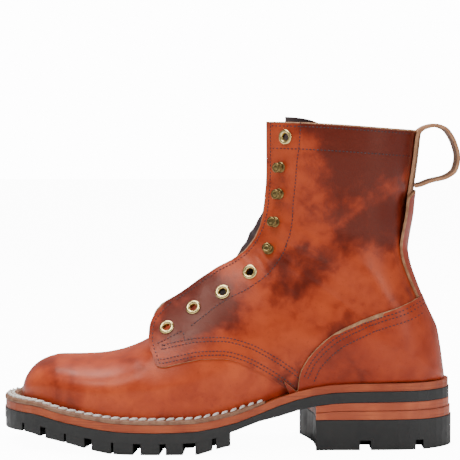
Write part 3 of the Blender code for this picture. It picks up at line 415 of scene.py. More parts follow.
def addPiece(name, parts, finishes, angle=40, replaces=()):
    # One mesh from several bodies; doubles are merged and the faces that meet in a seam go
    nearly = 2e-6
    points, groups, offset = [], [], 0
    for body, faces in parts:
        points.append(body)
        groups.append([f + offset for f in outward(body, faces)])
        offset += len(body)
    points = np.concatenate(points)
    places = np.round(points / nearly).astype(np.int64)
    _, first, back = np.unique(places, axis=0, return_index=True, return_inverse=True)
    points, back = points[first], back.reshape(-1)
    corners, totals, slots, kept = [], [], [], []
    for number in range(max(len(group) for group in groups)):
        faces = back[np.concatenate([group[number] for group in groups if number < len(group)])]
        same = faces == np.roll(faces, -1, axis=1)
        keep = same.sum(axis=1) < 2
        faces, same = faces[keep], same[keep]
        _, place, times = np.unique(
            np.sort(faces, axis=1), axis=0, return_inverse=True, return_counts=True)
        single = times[place.reshape(-1)] == 1
        faces, same = faces[single], same[single]
        corners.append(faces[~same])
        totals.append(4 - same.sum(axis=1))
        slots.append(np.full(len(faces), number))
    corners, totals, slots = (np.concatenate(a) for a in (corners, totals, slots))
    mesh = bpy.data.meshes.new(name)
    mesh.vertices.add(len(points))
    mesh.vertices.foreach_set("co", points.ravel())
    mesh.loops.add(len(corners))
    mesh.loops.foreach_set("vertex_index", corners.astype(np.int32))
    mesh.polygons.add(len(totals))
    starts = np.concatenate(([0], np.cumsum(totals)[:-1]))
    mesh.polygons.foreach_set("loop_start", starts.astype(np.int32))
    for finish in finishes:
        mesh.materials.append(looks[finish])
    slots = np.minimum(slots, len(finishes) - 1)
    mesh.polygons.foreach_set("material_index", slots.astype(np.int32))
    mesh.update(calc_edges=True)
    mesh.validate()
    mesh.shade_smooth()
    mesh.set_sharp_from_angle(angle=math.radians(angle))
    made = bpy.data.objects.new(name, mesh)
    bpy.context.collection.objects.link(made)
    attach(made, "root")
    if replaces:
        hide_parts(*replaces)
    print(name, len(points), "points")


# Shader helpers
class Wire:
    # A shader value that can be added, multiplied and so on
    def __init__(self, look, socket):
        self.look, self.socket = look, socket

    def maths(self, operation, *values):
        return self.look.out("ShaderNodeMath", {"operation": operation}, dict(enumerate(values)))

    def __add__(self, other):
        return self.maths("ADD", self, other)

    def __mul__(self, other):
        return self.maths("MULTIPLY", self, other)

    __radd__, __rmul__ = __add__, __mul__

    def range(self, start, end, first=0.0, last=1.0):
        return self.look.out("ShaderNodeMapRange", {"interpolation_type": "SMOOTHSTEP"},
                             {0: self, 1: start, 2: end, 3: first, 4: last})


class Look:
    # A material and the few kinds of node that the finishes use
    def __init__(self, name, colour, roughness, **others):
        self.made = bpy.data.materials.new(name)
        self.made.use_nodes = True
        self.tree = self.made.node_tree
        self.shader = self.tree.nodes["Principled BSDF"]
        self.shader.inputs["Base Color"].default_value = (*colour, 1)
        self.shader.inputs["Roughness"].default_value = roughness
        for key, value in others.items():
            self.shader.inputs[key].default_value = value
        self.place = self.out("ShaderNodeTexCoord", {}, {}, "Object")

    def out(self, kind, settings, values, output=0):
        # One output of a new node: its settings come first, then its sockets' values or links
        made = self.tree.nodes.new(kind)
        for key, value in settings.items():
            setattr(made, key, value)
        for key, value in values.items():
            if isinstance(value, Wire):
                self.tree.links.new(value.socket, made.inputs[key])
            else:
                made.inputs[key].default_value = value
        return Wire(self, made.outputs[output])

    def noise(self, scale, detail=3.0, rough=0.5, distortion=0.0, at=None):
        return self.out("ShaderNodeTexNoise", {}, {
            "Vector": at or self.place, "Scale": scale, "Detail": detail, "Roughness": rough,
            "Distortion": distortion})

    def cells(self, scale):
        return self.out("ShaderNodeTexVoronoi", {}, {"Vector": self.place, "Scale": scale}, "Distance")

    def mixed(self, factor, first, second):
        pair = [value if isinstance(value, Wire) else (*value, 1) for value in (first, second)]
        return self.out("ShaderNodeMix", {"data_type": "RGBA"}, {0: factor, 6: pair[0], 7: pair[1]}, 2)

    def stretched(self, x, y, z):
        return self.out("ShaderNodeVectorMath", {"operation": "MULTIPLY"}, {0: self.place, 1: (x, y, z)})

    def patch(self, x, z, radius, amount):
        # A soft round patch in side view: the amount near its middle, fading to nothing at its radius
        far = self.out("ShaderNodeVectorMath", {"operation": "DISTANCE"}, {
            0: self.stretched(1, 0, 1), 1: (x, 0, z)}, "Value")
        return far.range(radius * 0.15, radius, amount, 0.0)

    def feed(self, name, wire):
        self.tree.links.new(wire.socket, self.shader.inputs[name])

    def bump(self, height, strength, distance):
        self.feed("Normal", self.out("ShaderNodeBump", {}, {
            "Height": height, "Strength": strength, "Distance": distance}))


# Where the leather is painted lighter or darker, seen from the side: painted highlights and painted shade,
# mixed with some of the leather's own lighter and darker tone
paintedLightPatches = (
    # x, z, radius, how much lighter (minus is darker)
    (-0.012, 0.185, 0.062, -0.10), (-0.030, 0.214, 0.045, -0.12), (0.010, 0.215, 0.035, -0.10),
    (-0.126, 0.104, 0.040, -0.13), (-0.060, 0.132, 0.030, -0.05), (-0.068, 0.080, 0.036, 0.12),
    (0.008, 0.072, 0.040, 0.10), (-0.058, 0.190, 0.030, 0.08), (-0.020, 0.115, 0.030, 0.08),
    (-0.200, 0.060, 0.045, 0.06), (-0.110, 0.060, 0.040, 0.10),
)


def leatherLook(name, bright, mid, dark, darkShare):
    # Pull-up leather: large clouds, small mottles, dark flecks, fine pores and a waxy sheen, with round
    # side-view spots of painted highlight and painted shade
    sheen = {"Specular IOR Level": 0.42, "Specular Tint": (1.0, 0.74, 0.62, 1)}
    look = Look(name, mid, 0.40, **sheen)
    clouds = look.noise(19.0, 3.0, 0.55, 0.6)
    mottle = look.noise(85.0, 4.0, 0.6, 0.3)
    fleck = look.noise(420.0, 3.0, 0.6)
    shade = clouds * 0.70 + mottle * 0.30
    # Round spots that make the leather lighter or darker: painted highlights and painted shade, mixed with
    # the leather's own tone
    for spot in paintedLightPatches:
        shade = shade + look.patch(*spot)
    warm = look.mixed(shade.range(0.42, 0.66), mid, bright)
    base = look.mixed(shade.range(0.52 + darkShare, 0.34 + darkShare, 0.0, 0.75), warm, dark)
    base = look.mixed(fleck.range(0.60, 0.74, 0.0, 0.22), base, dark)
    look.feed("Base Color", base)
    look.feed("Roughness", mottle.range(0.3, 0.7, 0.27, 0.40) + fleck * 0.06)
    pores = look.cells(900.0)
    grain = look.noise(1300.0, 3.0, 0.6) * 0.6 + pores * 0.5 + mottle * 0.5
    look.bump(grain, 0.25, 0.00025)
    return look.made


def plainLook(name, first, second, scale, roughness, bump=0.2, distance=0.0002, **others):
    # Two shades mixed by a noise, with a fine bump
    look = Look(name, first, roughness, **others)
    mix = look.noise(scale, 4.0, 0.6)
    look.feed("Base Color", look.mixed(mix.range(0.35, 0.65), first, second))
    look.feed("Roughness", mix.range(0.3, 0.7, roughness - 0.06, roughness + 0.08))
    look.bump(look.noise(scale * 9, 3.0, 0.6) + mix * 0.5, bump, distance)
    return look.made


def layeredLook(name, first, second, line, roughness, layer):
    # Leather seen edge on: thin level lines of stacked fibres
    look = Look(name, first, roughness)
    bands = look.noise(1.0, 3.0, 0.6, at=look.stretched(14.0, 14.0, 1 / layer))
    mix = look.noise(45.0, 3.0, 0.5)
    base = look.mixed(mix.range(0.35, 0.65), first, second)
    base = look.mixed(bands.range(0.52, 0.66, 0.0, 0.6), base, line)
    look.feed("Base Color", base)
    look.feed("Roughness", mix.range(0.3, 0.7, roughness - 0.05, roughness + 0.08))
    look.bump(bands, 0.25, 0.0002)
    return look.made


looks = {
    "leather": leatherLook(
        "oiledLeather", (0.50, 0.068, 0.018), (0.29, 0.028, 0.009), (0.060, 0.005, 0.003), 0.04),
    "vamp": leatherLook(
        "vampLeather", (0.60, 0.090, 0.025), (0.40, 0.046, 0.014), (0.11, 0.010, 0.004), -0.03),
    "counter": leatherLook(
        "counterLeather", (0.44, 0.054, 0.016), (0.31, 0.031, 0.010), (0.12, 0.010, 0.005), -0.04),
    "rawEdge": plainLook("rawEdge", (0.46, 0.24, 0.12), (0.30, 0.13, 0.06), 240.0, 0.75),
    "lining": plainLook("lining", (0.20, 0.085, 0.045), (0.13, 0.055, 0.032), 60.0, 0.7),
    "tongue": plainLook("tongueLeather", (0.060, 0.028, 0.026), (0.035, 0.017, 0.018), 70.0, 0.5),
    "strap": plainLook("strapLeather", (0.50, 0.25, 0.125), (0.38, 0.17, 0.08), 150.0, 0.6),
    "strapFace": plainLook("strapFace", (0.30, 0.155, 0.085), (0.22, 0.11, 0.06), 180.0, 0.75),
    "rubber": plainLook("soleRubber", (0.013, 0.013, 0.013), (0.020, 0.020, 0.019), 90.0, 0.50, 0.15),
    "insole": plainLook("insoleBoard", (0.42, 0.26, 0.15), (0.32, 0.18, 0.10), 50.0, 0.7),
    "midsole": layeredLook(
        "midsoleEdge", (0.44, 0.080, 0.018), (0.33, 0.052, 0.012), (0.16, 0.022, 0.007), 0.45, 0.0009),
    "stack": layeredLook(
        "stackedLeather", (0.58, 0.118, 0.036), (0.42, 0.076, 0.024), (0.20, 0.032, 0.013), 0.42, 0.0011),
    "welt": plainLook("weltLeather", (0.30, 0.15, 0.085), (0.20, 0.085, 0.045), 160.0, 0.6),
    "weltThread": plainLook("weltThread", (0.92, 0.89, 0.84), (0.76, 0.70, 0.62), 500.0, 0.7),
    "thread": plainLook("darkThread", (0.070, 0.028, 0.030), (0.045, 0.018, 0.020), 500.0, 0.6),
    "brass": plainLook("paleBrass", (0.80, 0.66, 0.30), (0.70, 0.52, 0.20), 300.0, 0.22, 0.1, Metallic=1.0),
    "oldBrass": plainLook(
        "antiqueBrass", (0.30, 0.21, 0.08), (0.13, 0.085, 0.03), 260.0, 0.30, 0.2, Metallic=1.0),
}
print("looks made")

# CAD solids that are shown as they are
for node, look in (
        ("outsole", "rubber"), ("heel_top_lift", "rubber"), ("heel_lift_1", "stack"),
        ("heel_lift_2", "stack"), ("midsole", "midsole"), ("insole", "insole")):
    shown = frame["nodes"][node]
    shown.data.materials.clear()
    shown.data.materials.append(looks[look])

# Creases: soft troughs and ridges, each from one place of the side view to another
creases = (
    # along, rise, along, rise, half width in mm, depth in mm (minus is a ridge)
    (0.610, 0.560, 0.655, 0.470, 1.7, 0.50),
    (0.628, 0.580, 0.690, 0.500, 2.0, 0.45),
    (0.600, 0.510, 0.650, 0.430, 2.2, 0.40),
    (0.640, 0.620, 0.730, 0.560, 2.4, 0.35),
    (0.620, 0.640, 0.700, 0.600, 1.8, 0.30),
    (0.566, 0.590, 0.600, 0.530, 1.8, 0.40),
    (0.650, 0.560, 0.745, 0.470, 5.0, -0.50),
    (0.600, 0.460, 0.720, 0.370, 6.0, 0.60),
    (0.720, 0.690, 0.860, 0.560, 9.0, 0.80),
    (0.700, 0.760, 0.850, 0.680, 8.0, -0.55),
    (0.800, 0.840, 0.900, 0.700, 9.0, 0.60),
    (0.560, 0.440, 0.660, 0.380, 6.0, -0.40),
)
creasePlan = {
    # how far a crease wavers and how deep it is, on the outer and the inner side
    "waver": (0.0012, 0.00072), "depth": (0.001, 0.0008), "turns": 5, "fade": 0.42,
}


def creased(grid, side):
    # Depth of all the creases at each point: a bell across each line, fading at its ends
    plan = creasePlan
    s, r = shareOf(grid[..., 0]) * outsoleLength, grid[..., 2]
    depth = np.zeros(grid.shape[:2])
    for a, b, c, d, wide, deep in creases:
        start = np.array((a * outsoleLength, b * shaftHeight))
        way = np.array((c * outsoleLength, d * shaftHeight)) - start
        length = np.linalg.norm(way)
        way /= length
        part = ((s - start[0]) * way[0] + (r - start[1]) * way[1]) / length
        off = (r - start[1]) * way[0] - (s - start[0]) * way[1]
        off = off + plan["waver"][side] * np.sin(part * plan["turns"] + a * 40)
        bell = np.exp(-((off * 1000 / wide) ** 2)) * np.exp(-(((part - 0.5) / plan["fade"]) ** 4))
        depth += bell * deep * plan["depth"][side]
    return depth


quarterPlan = {
    # rows along and columns across, shares of the way at the nose and at the raw edges, sizes
    "rows": 190, "columns": 72, "noseRows": 30, "nose": 0.06, "collar": (0.994, 0.9965, 0.9985, 1.0),
    "throat": 0.993, "rounding": 0.0006, "hole": 0.0036,
}


def panel(side):
    # The quarter's grid on the form: t runs from the flap's front to the collar, s from the seam or
    # the back up to the throat, and each row ends where the side view meets the collar's line
    plan = quarterPlan
    seam = sideLine(seamLine, 240)
    flap = sideLine(flapLine, 160)
    seamT, seamQ = quarterForm.locate(*seam)
    flapT, flapQ = quarterForm.locate(*flap)
    nose = int(np.argmin(flapT))
    lowT, lowQ = ordered(np.concatenate((flapT[nose:0:-1], seamT)),
                         np.concatenate((flapQ[nose:0:-1], seamQ)))
    highT, highQ = ordered(flapT[nose:], flapQ[nose:])
    collarT, collarQ = quarterForm.locate(*sideLine(collarLine, 240))
    collarQ, collarT = ordered(collarQ, collarT)

    def lowTurn(t):
        return quarterForm.turn(t, np.maximum(np.interp(t, lowT, lowQ, right=0.0), 0), side)

    def highTurn(t):
        flat = quarterForm.turn(t, np.interp(t, highT, highQ, right=2.0), side)
        return np.minimum(flat, quarterForm.throat(t, side))

    nosePart = plan["nose"] * (1 - np.cos(np.linspace(0, math.pi / 2, plan["noseRows"])))
    mainRows = plan["rows"] - plan["noseRows"] - 2
    mainPart = np.linspace(plan["nose"], plan["collar"][0], mainRows)[1:]
    a = np.concatenate((nosePart, mainPart, plan["collar"][1:]))
    b = np.append(np.linspace(0, plan["throat"], plan["columns"] - 1), 1.0)
    first = flapT[nose]
    end = np.full(len(b), quarterForm.last)
    for _ in range(8):
        lowS, highS = lowTurn(end), highTurn(end)
        turns = lowS + (highS - lowS) * b
        here = quarterForm.point(end, turns, side)
        x0, z0, x1, z1 = quarterForm.columns(end)[:4]
        q = np.hypot(here[:, 0] - x0, here[:, 2] - z0) / np.hypot(x1 - x0, z1 - z0)
        end = np.interp(q, collarQ, collarT)
    t = first + (end[None, :] - first) * a[:, None]
    lowS, highS = lowTurn(t), highTurn(t)
    s = lowS + (highS - lowS) * b[None, :]
    return quarterForm.point(t, s, side)


def facingOut(way, side):
    return way * (1 if (way[..., 1] * (-1, 1)[side]).sum() > 0 else -1)


def levelled(way, grid):
    # Unit ways, kept in the mirror plane where the first column lies on the back seam
    way[np.abs(grid[:, 0, 1]) < 1e-5, 0, 1] = 0
    return unit(way)


eyelets = ((0.371, 0.371), (0.429, 0.431), (0.493, 0.479), (0.553, 0.540), (0.632, 0.956))
hooks = ((0.594, 0.610), (0.609, 0.695), (0.619, 0.782), (0.622, 0.864))


def quarter(side):
    # The panel thickened both ways from its grid, creased, with rounded rims and eyelet holes
    plan = quarterPlan
    grid = panel(side)
    way = levelled(facingOut(waysOut(grid), side), grid)
    depth = creased(grid, side)[..., None]
    outer, inner = grid + way * (overlay - depth), grid - way * (linedWall + depth)
    for rim in ((slice(None), -1), (-1, slice(None)), (0, slice(None))):
        outer[rim] = grid[rim] + way[rim] * (overlay - plan["rounding"])
    points, groups = slab(outer, inner, (0, 2, 0, 1))
    places = np.array([(along(a), r * shaftHeight) for a, r in eyelets]).T
    middles = quarterForm.spot(*places, side)[0]
    for k in (0, 2):
        centre = points[groups[k]].mean(axis=1)
        near = np.linalg.norm(centre[:, None] - middles[None], axis=-1).min(axis=1)
        groups[k] = groups[k][near > plan["hole"]]
    return points, groups


addPiece("quarters", [quarter(side) for side in (0, 1)], ("leather", "rawEdge", "lining"),
         replaces=("upper",))


vampPlan = {
    # rows, columns below and above the widest level, how the rows crowd towards the toe
    "rows": 190, "below": 25, "above": 45, "crowding": 1.25,
    # the rear end on the ridge, then where the quarters cover the vamp: start and width of the change
    "ridgeEnd": (0.462, 0.44), "behind": (0.30, 0.05), "under": (0.37, 0.07),
}


def vampGrid():
    # Whole sections from the outer foot line over the ridge to the inner one
    plan = vampPlan
    t = np.linspace(0, 1, plan["rows"]) ** plan["crowding"]
    halves = []
    s = np.concatenate((np.linspace(-1, 0, plan["below"] + 1)[:-1], np.linspace(0, 1, plan["above"])))
    share, rise = plan["ridgeEnd"]
    top, _ = vampForm.locate(along(share), rise * shaftHeight)
    for side in (0, 1):
        end = vampForm.last + (top - vampForm.last) * eased((s + 0.55) / 1.1)
        turns = np.broadcast_to(s, (len(t), len(s)))
        halves.append(vampForm.point(t[:, None] * end[None, :], turns, side))
    return np.concatenate((halves[0], halves[1][:, -2::-1]), axis=1)


def vamp():
    # The grid is the outer skin; under the quarters it is eased back onto their form
    grid = vampGrid()
    ridge = grid.shape[1] // 2
    (start, width), (top, height) = vampPlan["behind"], vampPlan["under"]
    behind = eased((shareOf(grid[..., 0]) - start) / width)
    below = eased((top - grid[..., 2] / shaftHeight) / height)
    for side, columns in ((0, slice(0, ridge)), (1, slice(ridge + 1, None))):
        part = grid[:, columns]
        there = quarterForm.across(part[..., 0], part[..., 2], side)
        share = behind[:, columns] * below[:, columns]
        part[..., 1] += np.where(share > 0, (there - part[..., 1]) * share, 0)
    way = waysOut(grid)
    way *= 1 if way[len(way) // 3, ridge, 2] > 0 else -1
    way[:, (0, -1), 2] = 0
    way[0] = (way[0] + way[0, ::-1] * (1, -1, 1)) / 2
    way[0, ridge] = way[0, ridge - 1] + way[1, ridge]
    way[0, :, 1] = 0
    return slab(grid, grid - unit(way) * wall)


addPiece("vamp", [vamp()], ("vamp", "rawEdge", "lining"))

counterPlan = {"gap": 0.0002, "rounding": (0.0002, 0.0005)}


def counterGrid(side, rows=110, columns=40):
    # From the counter's front end round to its top on the back seam
    edgeX, edgeZ = sideLine(counterLine, 300)
    edgeT, edgeQ = quarterForm.locate(edgeX, edgeZ)
    backT = np.linspace(quarterForm.footEnd, quarterForm.last, 400)
    backX, backZ = quarterForm.columns(backT)[:2]
    top = np.interp(0.0, backZ - np.interp(backX, edgeX, edgeZ), backT)
    keep = edgeT < top
    edgeT, edgeQ = ordered(np.append(edgeT[keep], top), np.append(edgeQ[keep], 0.0))
    first = edgeT[0]
    u = np.linspace(0, 1, rows)
    t = first + (top - first) * (0.5 * u + 0.5 * (1 - np.cos(u * math.pi)) / 2)
    high = quarterForm.turn(t, np.interp(t, edgeT, edgeQ), side)
    v = np.sin(np.linspace(0, 1, columns) * math.pi / 2) ** 0.9
    s = -1 + (high[:, None] + 1) * v[None, :]
    return quarterForm.point(np.broadcast_to(t[:, None], s.shape), s, side)


def counter(side):
    # The grid moved out past the quarter, then out again by the counter's own wall
    plan = counterPlan
    grid = counterGrid(side)
    way = facingOut(waysOut(grid), side)
    way[:, 0, 2] = 0
    way[np.abs(grid[:, 0, 1]) < 1e-5, 0, 1] = 0
    way[-1] = way[-2, 0]
    way[-1, :, 1] = 0
    way = levelled(way, grid)
    base = overlay + plan["gap"]
    outer = grid + way * (base + counterWall)
    for column, rounding in zip((-2, -1), plan["rounding"]):
        outer[:, column] = grid[:, column] + way[:, column] * (base + counterWall - rounding)
    return slab(outer, grid + way * base, (0, 0, 0, 4))


addPiece("counter", [counter(side) for side in (0, 1)], ("counter", "rawEdge", "rawEdge"),
         replaces=("counter",))
print("upper made")

stripPlan = {
    # the strip's half width, top and crown, then the strap's thickness, foot and half width
    "half": 0.0165, "top": 0.177, "bow": 0.45, "strap": 0.0026, "foot": 0.165, "strapHalf": 0.0125,
    "gap": 0.0003, "strapGap": 0.0005, "slope": 0.034, "rounding": 0.0004,
}


def backPoints(t, y):
    # Points of the form near the back seam, at a distance y from it
    x, z, topX, topZ, outer, inner, equator = quarterForm.columns(t)[:7]
    wide = np.where(y < 0, outer, inner)
    q = equator * (1 - np.sqrt(np.clip(1 - (y / wide) ** 2, 0, 1)))
    return np.stack((x + (topX - x) * q, y, z + (topZ - z) * q), axis=-1)


def backStrip(rows=70, columns=30):
    # The strip up the back: from the counter's edge to a round top, bulged out over the loop's end
    plan = stripPlan
    y = plan["half"] * np.sin(np.linspace(-1, 1, columns) * math.pi / 2)
    t = np.linspace(quarterForm.footEnd, quarterForm.last, 500)
    edgeX, edgeZ = sideLine(counterLine, 300)
    v = np.linspace(0, 1, rows)
    v = v - 0.02 * np.sin(v * 2 * math.pi)
    grid = np.empty((rows, columns, 3))
    for j, across in enumerate(y):
        line = backPoints(t, np.full_like(t, across))
        start = np.interp(0.0004, line[:, 2] - np.interp(line[:, 0], edgeX, edgeZ), t)
        fall = 1 - math.sqrt(max(0, 1 - (across / plan["half"]) ** 2))
        crown = plan["half"] * plan["bow"] * fall
        end = np.interp(plan["top"] - crown, line[:, 2], t)
        grid[:, j] = backPoints(start + (end - start) * v, np.full(rows, across))
    way = waysOut(grid)
    way *= 1 if way[..., 0].sum() > 0 else -1
    over = eased((grid[..., 2] - plan["foot"] + plan["slope"]) / plan["slope"])
    lift = (overlay + plan["gap"] + (plan["strap"] + plan["strapGap"]) * over)[..., None]
    outer = grid + way * (lift + stripWall)
    for k in ((slice(None), -1), (slice(None), 0), (-1, slice(None))):
        outer[k] -= way[k] * plan["rounding"]
    return slab(outer, grid + way * lift, (0, 1, 3, 3))


addPiece("backStrip", [backStrip()], ("counter", "rawEdge", "rawEdge"),
         replaces=("backstay",))

loopLine = (
    # along, rise, after it leaves the back of the shaft
    (0.930, 0.966), (0.943, 0.984), (0.964, 0.991), (0.986, 0.982), (1.008, 0.937), (1.016, 0.892),
    (1.010, 0.853), (0.988, 0.830), (0.957, 0.819), (0.934, 0.806),
)


def pullLoop(rows=180, columns=14):
    # A strap up the back, over and down again outside itself; it sags round the shaft
    plan = stripPlan
    thick = plan["strap"]
    t = np.linspace(quarterForm.footEnd, quarterForm.last, 500)
    x0, z0, x1, z1, outer, _, equator = quarterForm.columns(t)[:7]
    lift = overlay + 2 * plan["gap"] + thick / 2
    rise = np.linspace(plan["foot"], loopLine[0][1] * shaftHeight - 0.006, 8)
    run = [(float(np.interp(z, z0, x0)) + lift, z) for z in rise]
    turned = [(float(along(a)), r * shaftHeight) for a, r in loopLine]
    end = [(run[2][0] + thick + 2 * plan["gap"], plan["top"] + 3 * plan["gap"] + thick / 2)]
    path = [(i, *p) for i, p in enumerate(run + turned + end)]
    at = np.linspace(0, len(path) - 1, rows)
    x, z = curve(path, 1, at), curve(path, 2, at)
    dx, dz = np.gradient(x), np.gradient(z)
    length = np.hypot(dx, dz)
    y = plan["strapHalf"] * np.linspace(-1, 1, columns)
    wide = np.interp(z, z0, outer)[:, None]
    deep = np.interp(z, z0, equator * np.hypot(x1 - x0, z1 - z0))[:, None]
    sag = deep * (1 - np.sqrt(np.clip(1 - (y / wide) ** 2, 0, 1)))
    flat = eased((at - len(run) + 1) / 3) * eased((len(path) - 1 - at) / 3)
    sag *= 1 - 0.8 * flat[:, None]
    sides = []
    for sign in (1, -1):
        push = np.full((rows, columns), sign * thick / 2)
        push[:, (0, -1)] *= 0.75
        px = x[:, None] + (dz / length)[:, None] * push - sag
        pz = z[:, None] - (dx / length)[:, None] * push
        sides.append(np.stack((px, np.broadcast_to(y, px.shape), pz), axis=-1))
    return slab(*sides)


addPiece("pullLoop", [pullLoop()], ("strapFace", "strap", "strap"),
         replaces=("pull_loop",))

tongueLine = (
    # along, rise, half width as a share of the ball width
    (0.430, 0.408, 0.17), (0.460, 0.449, 0.19), (0.489, 0.503, 0.22), (0.515, 0.549, 0.25),
    (0.533, 0.588, 0.25), (0.549, 0.622, 0.25), (0.559, 0.650, 0.25), (0.569, 0.673, 0.25),
    (0.582, 0.718, 0.25), (0.595, 0.785, 0.26), (0.611, 0.874, 0.27), (0.627, 0.996, 0.28),
    (0.630, 1.018, 0.28),
)
tonguePlan = {
    # the swelling between the edges, the fall of the top corners, ripples, gap and thickness
    "bulge": 0.0030, "corner": 0.0030, "ripple": 0.0006, "gap": 0.0002, "thick": 0.0021,
}


def tongue(rows=110, columns=44):
    # A plate curved like the form, standing behind the throat's edges: its half sections are arcs
    # of an ellipse inside the quarters, and it swells and ripples a little along its length
    plan = tonguePlan
    table = [(i, *row) for i, row in enumerate(tongueLine)]
    at = np.linspace(0, len(tongueLine) - 1, rows)
    share, rise, half = (curve(table, i, at) for i in (1, 2, 3))
    x, z = along(share), rise * shaftHeight
    t, _ = quarterForm.locate(x, z)
    x0, z0, _, _, outer, inner, equator = [c[:, None] for c in quarterForm.columns(t)[:7]]
    c = np.linspace(-1, 1, columns)
    w = c * half[:, None] * ballWidth
    room = np.minimum(outer, inner) - 2 * wall
    part = equator + (1 - equator) * np.sqrt(np.clip(1 - (w / room) ** 2, 0, 1))
    grid = np.stack((x0 + (x[:, None] - x0) * part, w, z0 + (z[:, None] - z0) * part), axis=-1)
    way = waysOut(grid)
    way *= 1 if way[rows // 2, columns // 2, 2] > 0 else -1
    grid[..., 2] -= plan["corner"] * np.abs(c) ** 8 * eased((at - 10.5) / 1.5)[:, None]
    bulge = eased(1 - np.abs(c)) * (eased((at - 1.5) / 2) * eased((9.5 - at) / 3))[:, None]
    grid = grid + way * plan["bulge"] * bulge[..., None]
    ripple = np.sin(at * 2.1)[:, None] * np.cos(c * 2.6) * eased((at - 2) / 2)[:, None]
    grid = grid - way * (plan["ripple"] * np.abs(ripple)[..., None] + plan["gap"])
    return slab(grid, grid - way * plan["thick"])


addPiece("tongue", [tongue()], ("tongue", "rawEdge", "lining"),
         replaces=("tongue",))


def turnedParts(places, profile, sides, lift):
    # A profile of radius and height in mm, turned about the way out of the leather at each place
    parts = []
    radius, height = np.array(profile).T / 1000
    angles = np.linspace(0, 2 * math.pi, sides + 1)
    for side in (0, 1):
        x, z = along(np.array(places)[:, 0]), np.array(places)[:, 1] * shaftHeight
        for place, way in zip(*quarterForm.spot(x, z, side, lift)):
            first = np.cross(way, (0, 0, 1.0))
            first /= np.linalg.norm(first)
            second = np.cross(way, first)
            circle = np.cos(angles)[:, None] * first + np.sin(angles)[:, None] * second
            rings = place + way * height[:, None, None] + circle * radius[:, None, None]
            index = np.arange(rings[..., 0].size).reshape(rings.shape[:2])
            parts.append((rings.reshape(-1, 3), [quads(index)]))
    return parts


eyeletProfile = (
    # radius, height in mm: a rolled rim with a short tube
    (2.40, -2.6), (2.85, -2.6), (2.85, 0.00), (5.15, 0.00), (5.20, 0.20), (5.10, 0.48), (4.85, 0.78),
    (4.45, 1.02), (3.95, 1.12), (3.45, 1.05), (3.00, 0.80), (2.66, 0.40), (2.48, -0.10), (2.40, -0.8),
    (2.40, -2.6),
)
hookProfile = (
    # radius, height in mm: a base, a neck and a round head with a dimple
    (0.00, 0.0), (3.80, 0.0), (3.80, 0.35), (3.60, 0.62), (3.10, 0.85), (2.50, 1.00), (1.90, 1.25),
    (1.60, 1.70), (1.55, 3.20), (1.70, 3.60), (2.40, 3.90), (3.20, 4.15), (3.50, 4.45), (3.50, 4.85),
    (3.25, 5.25), (2.60, 5.60), (2.45, 5.62), (2.30, 5.50), (1.50, 5.62), (0.70, 5.75), (0.00, 5.78),
)
nodes = [f"{kind}_{side}_{i + 1}" for kind, count in (("eyelet", 5), ("hook", 4))
         for side in ("outer", "inner") for i in range(count)]
fittingLift = overlay + 0.0003
addPiece("eyelets", turnedParts(eyelets, eyeletProfile, 36, fittingLift), ["brass"], 50,
         replaces=[n for n in nodes if n.startswith("eyelet")])
addPiece("hooks", turnedParts(hooks, hookProfile, 32, fittingLift), ["oldBrass"], 50,
         replaces=[n for n in nodes if n.startswith("hook")])
print("fittings made")


def ringLine(inset, count=900):
    # The plan of the welt from the outer waist round the toe to the inner waist, evenly spaced
    halves = []
    for side in (1, 2):
        x, y = edgePoints(side, inset)
        halves.append(kept((x, y), x <= along(solePlan["weltEnd"])))
    x, y = (np.concatenate((halves[0][k][::-1], halves[1][k][1:])) for k in (0, 1))
    far = lengths(x, y)
    at = np.linspace(0, far[-1], count)
    return np.interp(at, far, x), np.interp(at, far, y), far[-1]


weltPlan = {
    # the ends' thickness and taper as shares, how far the welt reaches under the upper and slopes
    "end": 0.45, "taper": 0.04, "under": 0.0006, "slope": 0.0019,
    "rim": ((0.0003, 0.0), (0.0001, 0.25), (0.0002, 0.6), (0.0006, 0.88), (0.0013, 1.0)),
}


def weltTop(x):
    taper = np.clip((solePlan["weltEnd"] - shareOf(x)) / weltPlan["taper"], 0, 1)
    share = weltPlan["end"] + (1 - weltPlan["end"]) * taper
    return midsoleTop(x) + solePlan["gap"] + solePlan["welt"] * share


def weltRing(count=520):
    # Its section runs from the foot out to the rim, up a rounded edge and back inwards
    plan = weltPlan

    def line(inset, level):
        x, y, _ = ringLine(inset, count)
        base = midsoleTop(x) + solePlan["gap"]
        return np.stack((x, y, base + (weltTop(x) - base) * level), axis=-1)

    low = line(lambda s: flange(s) - plan["under"], 0.0)
    high = line(lambda s: flange(s) - plan["under"] - plan["slope"], 1.0)
    lines = [low] + [line(*place) for place in plan["rim"]] + [high]
    grid = np.array(lines + lines[:1])
    index = np.arange(grid[..., 0].size).reshape(grid.shape[:2])
    cap = np.array(((0, 1, 2, 3), (0, 3, 4, 5), (0, 5, 6, 6))) * count
    ends = np.concatenate((cap, cap + count - 1))
    ends[3:] = ends[3:, ::-1]
    return grid.reshape(-1, 3), [np.concatenate((quads(index), ends))]


addPiece("welt", [weltRing()], ["welt"], 50, replaces=("welt",))


def beads(places, ways, ups, length, width, height, around=6, rings=5):
    # One small bead at each place, lying along its way, with ups pointing out of the surface: u runs
    # from end to end, where the bead closes, and v goes round it
    u = np.linspace(-1, 1, rings)
    thick = np.sqrt(np.clip(1 - u ** 4, 0, 1))
    v = np.linspace(0, 2 * math.pi, around + 1)
    ways = unit(ways)
    sides = np.cross(ups, ways)
    shape = (places[:, None, None] + ways[:, None, None] * (u * length / 2)[:, None, None]
             + sides[:, None, None] * (thick[:, None] * np.cos(v))[..., None] * width / 2
             + ups[:, None, None] * (thick[:, None] * np.sin(v))[..., None] * height / 2)
    index = np.arange(shape[..., 0].size).reshape(shape.shape[:3])
    corners = (index[:, :-1, :-1], index[:, :-1, 1:], index[:, 1:, 1:], index[:, 1:, :-1])
    return shape.reshape(-1, 3), [np.stack(corners, -1).reshape(-1, 4)]


